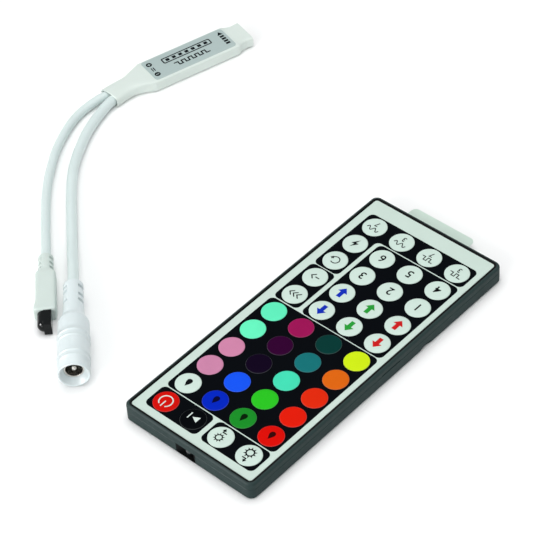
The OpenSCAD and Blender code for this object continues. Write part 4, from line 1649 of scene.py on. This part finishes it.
@dataclass
class PowerSocket:
    """The power lead's socket: slotted strain relief, collar, banded barrel, contact sleeve and pin.

    Attributes:
        place: Where the lead enters it, and its axis.
        relief, collar, shoulder, barrel: Lengths of its stretches, from the lead to the mouth.
        relief_r, collar_r, barrel_r: Their radii.
        slots: Middle of each slot as a share of the relief, and its side.
        slot_w: Width of a slot.
        core: Half the thickness that the slots leave.
        bands: Middle of each raised band as a share of the barrel.
        band: How far a band stands out.
        wall: Thickness of the mouth's lip.
        bore_r: Radius of the bore.
        deep: How far the contact sleeve stands back from the mouth.
        contact_l, contact_t: Length and wall of the contact sleeve.
        pin_r, pin_l: The pin's radius and length.
        edge, roll, lip_edge, thin_edge: Rounding of the relief's end, the collar, the lip and the contacts.
        band_foot, band_top: Half the width of a band at its foot and at its top.
    """

    place: Place = Place(-34.1, 78.7, 5.5, -134.4)
    relief: float = 10.8
    collar: float = 4.5
    shoulder: float = 2.5
    barrel: float = 23.5
    relief_r: float = 3.45
    collar_r: float = 3.75
    barrel_r: float = 5.3
    slots: tuple[Pair, ...] = ((0.24, -1), (0.24, 1), (0.45, -1), (0.6, 1), (0.84, 1), (0.84, -1))
    slot_w: float = 1.2
    core: float = 1.9
    bands: tuple[float, ...] = (0.31, 0.41, 0.7, 0.8)
    band: float = 0.2
    wall: float = 0.5
    bore_r: float = 3.3
    deep: float = 2.4
    contact_l: float = 9.6
    contact_t: float = 0.45
    pin_r: float = 1.0
    pin_l: float = 8.4
    edge: float = 0.45
    roll: float = 0.9
    lip_edge: float = 0.35
    thin_edge: float = 0.12
    band_foot: float = 0.5
    band_top: float = 0.28

    def levels(self) -> tuple[float, float, float]:
        """How far along the axis the barrel begins, its mouth is and the bore ends."""
        end = self.relief + self.collar + self.shoulder
        return end, end + self.barrel, end + self.barrel - self.deep - self.contact_l

    def outside(self) -> Array:
        """The moulding's profile from the lead, over the barrel, round the lip and down the bore.

        Returns:
            The points (x, r), x being along the axis and r out from it.
        """
        end, mouth, foot = self.levels()
        edges = soften(line_of((0, 0), (0, self.relief_r), (self.relief, self.relief_r)), self.edge, 5)
        near_slots = [beside_slot(share * self.relief, self.slot_w) for share, _ in self.slots]
        xs = np.concatenate([np.linspace(0.6, self.relief - 0.1, 60), *near_slots])
        xs = np.unique(xs[(xs > 0.55) & (xs < self.relief)])
        dense = beside(xs, self.relief_r)
        neck = soften(line_of((self.relief, self.relief_r), (self.relief + 0.3, self.relief_r + 0.05),
                              (self.relief + self.collar, self.collar_r), (end, self.barrel_r),
                              (end + 0.2 * self.barrel, self.barrel_r)), self.roll, 5)
        foot_w, top_w, high = self.band_foot, self.band_top, self.band
        steps = ((-foot_w, 0.0), (-top_w, high), (top_w, high), (foot_w, 0.0))
        bands = soften(line_of(*((end + share * self.barrel + dx, self.barrel_r + up)
                                 for share in self.bands for dx, up in steps)), 0.1, 2)
        lip = soften(line_of(bands[-1], (mouth, self.barrel_r), (mouth, self.barrel_r - self.wall),
                             (mouth - self.deep, self.bore_r), (foot, self.bore_r), (foot, 0)),
                     self.lip_edge, 4)
        return np.vstack([edges[:-1], dense, neck[1:], bands, lip[1:]])

    def build(self) -> list[Thing]:
        """Turns the moulding, cuts its slots and fits the contacts.

        A slot at x0 draws the side |y| > core in to the core's face: y' = y (1 - m) + clip(y, core) m, where
        m comes from slot_depth.

        Returns:
            The moulding, the contact sleeve and the pin.
        """
        skin = turned(self.outside(), 72)
        x, y = skin.points[:, 0], skin.points[:, 1]
        for share, side in self.slots:
            cut = slot_depth(x - share * self.relief, self.slot_w) * (x < self.relief)
            limit = np.minimum(y * side, self.core) * side
            y = np.where(y * side > self.core, y * (1 - cut) + limit * cut, y)
        skin.points[:, 1] = y
        body = piece("socket_moulding", skin.through(self.place), MOULDING, sharp=50.0)
        _, mouth, foot = self.levels()
        lip, inner = mouth - self.deep, self.bore_r - self.contact_t
        loop = line_of((foot, inner), (foot, self.bore_r), (lip, self.bore_r), (lip, inner), (foot, inner))
        loop = turned(soften(loop, self.thin_edge, 3), 48)
        sleeve = piece("socket_contact", loop.through(self.place), NICKEL)
        a = np.linspace(0, np.pi / 2, 8)
        dome = beside(foot + self.pin_l + self.pin_r * np.sin(a), self.pin_r * np.cos(a))
        pin = np.vstack([line_of((foot - 0.2, 0), (foot - 0.2, self.pin_r)), dome])
        pin = piece("socket_pin", turned(pin, 32).through(self.place), NICKEL)
        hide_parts("dc_socket")
        return [body, sleeve, pin]


@dataclass
class InfraredEye:
    """The receiver's moulding: slotted strain relief, shoulder, and a box that flares beside the lens.

    Attributes:
        place: Where the lead enters it, and its axis.
        relief, shoulder, box: Lengths of its stretches.
        relief_r: Radius of the relief.
        width, height: The box's section.
        flare, flare_l: How far and how long it flares on one side.
        slots: Middle of each slot as a share of the relief.
        slot_w, core: A slot's width and half the thickness that is left.
        start_edge, face_edge: Rounding of its two ends.
        round_n, box_n: Exponents of the relief's section and of the box's.
    """

    place: Place = Place(-29.0, 97.6, 3.0, -133.8)
    relief: float = 6.8
    shoulder: float = 2.5
    box: float = 18.0
    relief_r: float = 2.65
    width: float = 6.9
    height: float = 6.0
    flare: float = 0.7
    flare_l: float = 6.0
    slots: tuple[float, ...] = (0.28, 0.62, 0.94)
    slot_w: float = 0.9
    core: float = 1.4
    start_edge: float = 0.4
    face_edge: float = 0.7
    round_n: float = 2.0
    box_n: float = 6.0

    def build(self) -> Thing:
        """Lofts the moulding from round to box.

        A section is |2y/w|^n + |2z/h|^n = 1, with n easing from round to box over the shoulder. The flare
        moves the -Y side out evenly. Slots are cut as in the power socket, on both sides.

        Returns:
            The moulding.
        """
        body = self.relief + self.shoulder
        face = body + self.box
        last = face - self.face_edge
        x = np.unique(np.concatenate([
            [0.0, 0.05, 0.18, self.start_edge], np.linspace(0.6, self.relief + 0.4, 60),
            *(beside_slot(share * self.relief, self.slot_w) for share in self.slots),
            np.linspace(self.relief + 0.5, body + 1.0, 24), np.linspace(body + 1.2, last, 60),
            last + self.face_edge * np.sin(np.linspace(0.1, np.pi / 2, 8)),
        ]))
        ease = eased((x - self.relief - 0.2) / self.shoulder)
        drawn_in = self.face_edge * quarter((x - face + self.face_edge) / self.face_edge)
        drawn_in += self.start_edge * quarter((self.start_edge - x) / self.start_edge)
        out = self.flare * eased((x - face + self.flare_l) / (self.flare_l * 0.7))
        half_w, half_h = (self.relief_r + (size / 2 - self.relief_r) * ease - drawn_in
                          for size in (self.width, self.height))
        ring_y, ring_z = box_ring(self.round_n + (self.box_n - self.round_n) * ease, 20)
        y = ring_y * half_w[:, None]
        y = y - np.where(ring_y < 0, -ring_y, 0.0) * out[:, None]
        z = ring_z * half_h[:, None]
        for share in self.slots:
            cut = slot_depth(x - share * self.relief, self.slot_w)[:, None]
            y = y * (1 - cut) + np.clip(y, -self.core, self.core) * cut
        skin = sleeve_of(beside(x[:, None], y, z))
        made = piece("eye_moulding", skin.through(self.place), EYE_MOULDING, sharp=50.0)
        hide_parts("ir_eye_housing")
        clothe("ir_receiver", RECEIVER)
        return made


PALE = (0.55, 0.675, 0.61)
WHITE_INK = (0.60, 0.68, 0.64)
ARROW_INKS = {"red": (0.53, 0.012, 0.013), "green": (0.02, 0.29, 0.035), "blue": (0.006, 0.026, 0.42)}
KEY_PALE = PrintedFilm("film_key_pale", PALE, rough=0.4, mottle=0.02, depth=0.002, shine=0.15, coat=0.05)


@dataclass(frozen=True)
class Key:
    """One key.

    Attributes:
        name: What it does.
        colour: Its film's colour.
        sign: The sign on it.
        number: The numeral on it.
        ink: The colour of both.
    """

    name: str
    colour: Colour = PALE
    sign: Sign = Sign.NONE
    number: str = ""
    ink: Colour = (0.004, 0.005, 0.006)

    def film(self, x: float, y: float) -> Finish:
        """The key's film.

        Args:
            x: Where the key stands along the handset.
            y: Where it stands across it.

        Returns:
            The film that all pale keys share, or one of the key's own colour with a painted highlight at its
            rim.
        """
        if self.colour == PALE:
            return KEY_PALE
        return KeyFilm(f"film_{self.name}", self.colour, rough=0.4, mottle=0.03, depth=0.002, shine=0.012,
                       coat=0.0, centre=(x, y))

    def print_ink(self) -> Finish:
        """The ink of its sign."""
        name = "ink_%02x%02x%02x" % tuple(int(255 * c) for c in self.ink)
        return Finish(name, self.ink, rough=0.42, mottle=0.06, grain=0.3, depth=0.001, shine=0.02)

    def slot(self) -> str:
        """The part's colour slot for it, which the pale keys share.

        Returns:
            The slot's name.
        """
        if self.colour == PALE:
            return "key_white"
        return {"play_pause": "key_black", "power": "key_power_red"}.get(self.name, "key_" + self.name)

    def marks(self, low: float, high: float) -> list[Skin]:
        """The sign and the numeral about the key's middle.

        Args:
            low: Level of their underside.
            high: Level of their top.

        Returns:
            A plate for each shape.
        """
        skins = printed(self.sign.shapes(), low, high)
        if self.number:
            tall, drop_by = (3.3, 0.0) if self.sign is Sign.NONE else (2.1, -1.35)
            numeral = figure(self.number, tall, low, high)
            skins.append(Skin(numeral.points + [0.0, drop_by, 0.0], numeral.faces))
        return skins


def coloured(**films: Colour) -> tuple[Key, ...]:
    """Keys of one colour each, with no sign."""
    return tuple(Key(name, colour) for name, colour in films.items())


def arrows(way: str, sign: Sign) -> tuple[Key, ...]:
    """The red, the green and the blue arrow key of one way."""
    return tuple(Key(f"{name}_{way}", sign=sign, ink=ink) for name, ink in ARROW_INKS.items())


def numbered(*numbers: int) -> tuple[Key, ...]:
    """Keys with plain numerals."""
    return tuple(Key(f"custom_{number}", number=str(number)) for number in numbers)


KEYS: tuple[tuple[Key, ...], ...] = (
    (Key("brightness_up", sign=Sign.BRIGHTER), Key("brightness_down", sign=Sign.DIMMER),
     Key("play_pause", (0.0012, 0.0018, 0.0028), Sign.PLAY, ink=WHITE_INK),
     Key("power", (0.56, 0.005, 0.003), Sign.POWER, ink=WHITE_INK)),
    (Key("red", (0.62, 0.004, 0.002), Sign.DROP, ink=(0.03, 0.001, 0.001)),
     Key("green", (0.01, 0.232, 0.019), Sign.DROP, ink=(0.001, 0.012, 0.001)),
     Key("blue", (0.001, 0.018, 0.46), Sign.DROP, ink=(0.001, 0.001, 0.03)),
     Key("white", sign=Sign.DROP)),
    coloured(scarlet=(0.67, 0.011, 0.003), lime=(0.022, 0.48, 0.015),
             azure=(0.008, 0.08, 0.77), pink=(0.53, 0.207, 0.347)),
    coloured(vermilion=(0.66, 0.021, 0.004), turquoise=(0.053, 0.64, 0.405),
             dark_violet=(0.005, 0.0012, 0.011), rose=(0.55, 0.205, 0.345)),
    coloured(orange=(0.64, 0.117, 0.006), teal=(0.008, 0.145, 0.155),
             plum=(0.028, 0.0006, 0.026), mint=(0.122, 0.79, 0.455)),
    coloured(yellow=(0.55, 0.73, 0.009), dark_teal=(0.002, 0.036, 0.031),
             magenta=(0.29, 0.007, 0.08), aqua=(0.106, 0.735, 0.435)),
    (*arrows("up", Sign.UP), Key("quick", sign=Sign.FAST)),
    (*arrows("down", Sign.DOWN), Key("slow", sign=Sign.SLOW)),
    (*numbered(1, 2, 3), Key("auto", sign=Sign.LOOP)),
    (*numbered(4, 5, 6), Key("flash", sign=Sign.BOLT)),
    (Key("jump_3", sign=Sign.STEP, number="3"), Key("jump_7", sign=Sign.STEP, number="7"),
     Key("fade_3", sign=Sign.WAVE, number="3"), Key("fade_7", sign=Sign.WAVE, number="7")),
)


@dataclass
class Keypad:
    """The printed film, its black panels, and the keys with their signs.

    Attributes:
        row_pitch, col_pitch, first: The grid of keys and the middle of its first one.
        key_d, hole_d, flange_d: Diameters of a key, its window and its flange.
        flange_z, flange_t: Where the flange lies and how thick it is.
        crown_z, rise: Level of a key's top and how much it is crowned.
        film_z: Level of the film's top.
        ink: How far the print stands above the film.
        lap: How far the print covers the rims of the film's windows.
        ink_in: How far the print's underside lies in what carries it: the film, and a key's crown.
        corner: Radius of the black panels' corners.
        panels: The panels' rectangles (x0, x1, y0, y1).
        arm, column: The two rectangles of the bent panel.
    """

    row_pitch: float = 10.29
    col_pitch: float = 11.8667
    first: Pair = (-53.2, -18.3)
    key_d: float = 8.64
    hole_d: float = 8.84
    flange_d: float = 9.34
    flange_z: float = 5.3
    flange_t: float = 0.3
    crown_z: float = 7.0
    rise: float = 0.25
    film_z: float = 6.7
    ink: float = 0.02
    ink_in: Pair = (0.05, 0.08)
    lap: float = 0.035
    corner: float = 1.9
    panels: dict[str, tuple[float, ...]] = field(default_factory=lambda: {
        "panel_power": (-57.9, -48.2, 0.4, 22.65),
        "panel_brightness": (-57.9, -48.2, -23.6, -1.35),
        "panel_colours": (-47.8, 3.25, -23.6, 22.65),
        "panel_arrows": (3.6, 44.5, -23.6, 10.5),
        "panel_speed": (3.7, 23.7, 12.15, 22.65),
    })
    arm: tuple[float, ...] = (24.0, 54.6, 12.15, 22.65)
    column: tuple[float, ...] = (44.9, 54.6, -23.6, 12.15)

    def at(self, row: int, col: int) -> Array:
        """The middle of a key."""
        return np.array([self.first[0] + row * self.row_pitch, self.first[1] + col * self.col_pitch])

    def windows(self, outline: Outline) -> Shape:
        """A panel's outline and the windows of the keys that lie in it.

        Args:
            outline: The panel's outline.

        Returns:
            The outline and one circle for each window.
        """
        reach = self.hole_d / 2 - self.lap
        sides = reach * line_of((1, 0), (0, 1), (-1, 0), (0, -1))
        keys = [self.at(row, col) for row in range(len(KEYS)) for col in range(len(KEYS[0]))]
        inside = [at for at in keys if holds(outline, at + sides).all()]
        return [outline, *(at + ring_line(reach, count=WINDOW_POINTS) for at in inside)]

    def build_panels(self) -> None:
        """Prints the black panels as thin plates on the film."""
        low, high = self.film_z - self.ink_in[0], self.film_z + self.ink
        outlines = {name: rounded_box(x1 - x0, y1 - y0, self.corner, (x0 + x1) / 2, (y0 + y1) / 2)
                    for name, (x0, x1, y0, y1) in self.panels.items()}
        (x0, x1, y0, y1), (c0, _, d0, _) = self.arm, self.column
        bent = line_of((x0, y0), (c0, y0), (c0, d0), (x1, d0), (x1, y1), (x0, y1))
        outlines["panel_modes"] = soften(bent, self.corner, 6, closed=True)
        for name, outline in outlines.items():
            made = piece(name, plate(self.windows(outline), low, high), INK_BLACK)
        clothe("keypad_overlay", FILM)

    def key_skin(self) -> Skin:
        """A key turned about its axis: its crown is (2r/d)^(8/3) + ((z - z0)/rise)^(8/3) = 1.

        Returns:
            The key, its axis through the origin.
        """
        a = np.linspace(0, np.pi / 2, 22)
        r, flange, top = self.key_d / 2, self.flange_d / 2, self.flange_z + self.flange_t
        edge = self.crown_z - self.rise
        crown = beside(edge + self.rise * np.sin(a) ** 0.75, r * np.cos(a) ** 0.75)
        crown[-1, 1] = 0.0
        foot = line_of((self.flange_z, 0), (self.flange_z, flange), (top, flange), (top, r))
        return turned(np.vstack([foot, crown]), 64, upright=True)

    def build_keys(self) -> None:
        """Makes each key and prints its sign and its numeral."""
        blank = self.key_skin()
        low, high = self.crown_z - self.ink_in[1], self.crown_z + self.ink
        for row, keys in enumerate(KEYS):
            for col, key in enumerate(keys):
                x, y = self.at(row, col).tolist()
                body = "key_" + key.name
                cap = Skin(blank.points + [x, y, 0.0], blank.faces)
                made = piece("cap_" + key.name, cap, key.film(x, y), body, sharp=35.0)
                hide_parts(body)
                key.slot()
                marks = key.marks(low, high)
                if marks:
                    sign = joined(marks)
                    across, up, level = sign.points.T
                    sign.points = beside(x - up, y + across, level)
                    piece("sign_" + key.name, sign, key.print_ink(), body)
                    key.slot()


@dataclass
class Handset:
    """The handset's shells, emitter, battery drawer and pull tab: the part's own solids in their finishes.

    Attributes:
        cell_x, cell_y, cell_top: The middle of the cell and the level of its top.
        plus_off: How far to the side of the cell's middle its plus stands.
        plus_reach, plus_line: Half the plus's length and the width of its lines.
        ink, ink_in: How far it stands out of the cell and how far it goes into it.
    """

    cell_x: float = 50.85
    cell_y: float = 2.0
    cell_top: float = 3.3
    plus_off: float = 4.5
    plus_reach: float = 1.6
    plus_line: float = 0.5
    ink: float = 0.01
    ink_in: float = 0.03

    def dress(self) -> None:
        """Gives each solid its finish and marks the cell with a plain plus."""
        for node, finish in (("front_case", CASE), ("back_case", CASE), ("battery_drawer", DRAWER),
                             ("infrared_led", EMITTER), ("coin_cell", STEEL), ("pull_tab", TAB)):
            clothe(node, finish)
        big = 100.0
        domes = ((-big, -big, 4.72), (big, big, 5.2), BRIGHT_STEEL, 1.0)
        chips = ((-40.0, -big, 2.0), (30.0, big, 3.88), BLACK_RESIN, 0.0)
        clock_part = ((-60.0, -big, 1.0), (-40.0, big, 3.88), BRIGHT_STEEL, 0.9)
        springs = ((35.0, -10.0, 1.0), (60.0, 10.0, 3.88), BRIGHT_STEEL, 1.0)
        clothe("circuit_board", BoardFinish("handset_board_lacquer", (0.02, 0.15, 0.05), rough=0.35,
                                            parts=(domes, chips, clock_part, springs)))
        r = self.plus_reach
        plus = moved([dash((-r, 0), (r, 0), self.plus_line), dash((0, -r), (0, r), self.plus_line)],
                     self.cell_x, self.cell_y - self.plus_off)
        mark = joined(printed(plus, self.cell_top - self.ink_in, self.cell_top + self.ink))
        piece("cell_mark", mark, LABEL_INK, "battery_drawer")


def main() -> None:
    """Builds the sub-assemblies in order and reports each one."""
    logging.basicConfig(level=logging.INFO, format="%(name)s: %(message)s")
    studio = Studio()
    studio.clear()
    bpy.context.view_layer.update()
    studio.camera()
    socket, eye = PowerSocket(), InfraredEye()
    socket_pieces = socket.build()
    log.info("power socket: %d pieces", len(socket_pieces))
    eye_piece = eye.build()
    log.info("infrared eye: done")
    controller = Controller()
    power, receiver, apart = 3.8, 3.3, 0.1
    leaves = controller.lead_heading()
    Lead("lead_power", "dc_lead", power, line_of(
        controller.lead_exit(-(receiver + apart) / 2),
        (42, 138.4, 2.3), (37.7, 137.5, 2.1), (32, 135.7, 2), (26.1, 133.3, 2), (20.6, 130.4, 2),
        (15.1, 127.2, 2), (9.9, 123.6, 2), (5.1, 119.5, 2), (0.6, 115.2, 2), (-3.9, 110.7, 2),
        (-8.2, 106.2, 2), (-12.6, 101.7, 2), (-17, 97.1, 2.2), (-21.3, 92.5, 2.9), (-25.5, 87.8, 4),
        (-29.8, 83.2, 5), socket.place.put(np.zeros(3)),
    ), leaves, socket.place.heading(), "connector").build(socket_pieces)
    Lead("lead_receiver", "ir_lead", receiver, line_of(
        controller.lead_exit((power + apart) / 2),
        (42, 143.2, 2.3), (37.7, 143.7, 1.9), (33.2, 143.6, 1.7), (27.7, 142.4, 1.7), (22, 140.2, 1.7),
        (16.5, 137.6, 1.7), (11.2, 134.6, 1.7), (6.2, 131.1, 1.7), (1.3, 127.5, 1.7), (-3.4, 123.6, 1.7),
        (-7.9, 119.5, 1.7), (-12.2, 115.2, 1.7), (-16.4, 110.9, 1.8), (-20.6, 106.5, 2.2), (-24.7, 102, 2.7),
        eye.place.put(np.zeros(3)),
    ), leaves, eye.place.heading(), "fitting").build([eye_piece, frame["nodes"]["ir_receiver"]])
    controller.build_sleeve()
    controller.build_label()
    controller.dress()
    log.info("controller: sleeve, label and board")
    keypad = Keypad()
    keypad.build_panels()
    log.info("film: %d black panels", len(keypad.panels) + 1)
    keypad.build_keys()
    log.info("keys: %d", sum(len(row) for row in KEYS))
    Handset().dress()
    log.info("handset: shells, emitter, drawer and tab")
    studio.build()


if __name__ == "__main__":
    main()
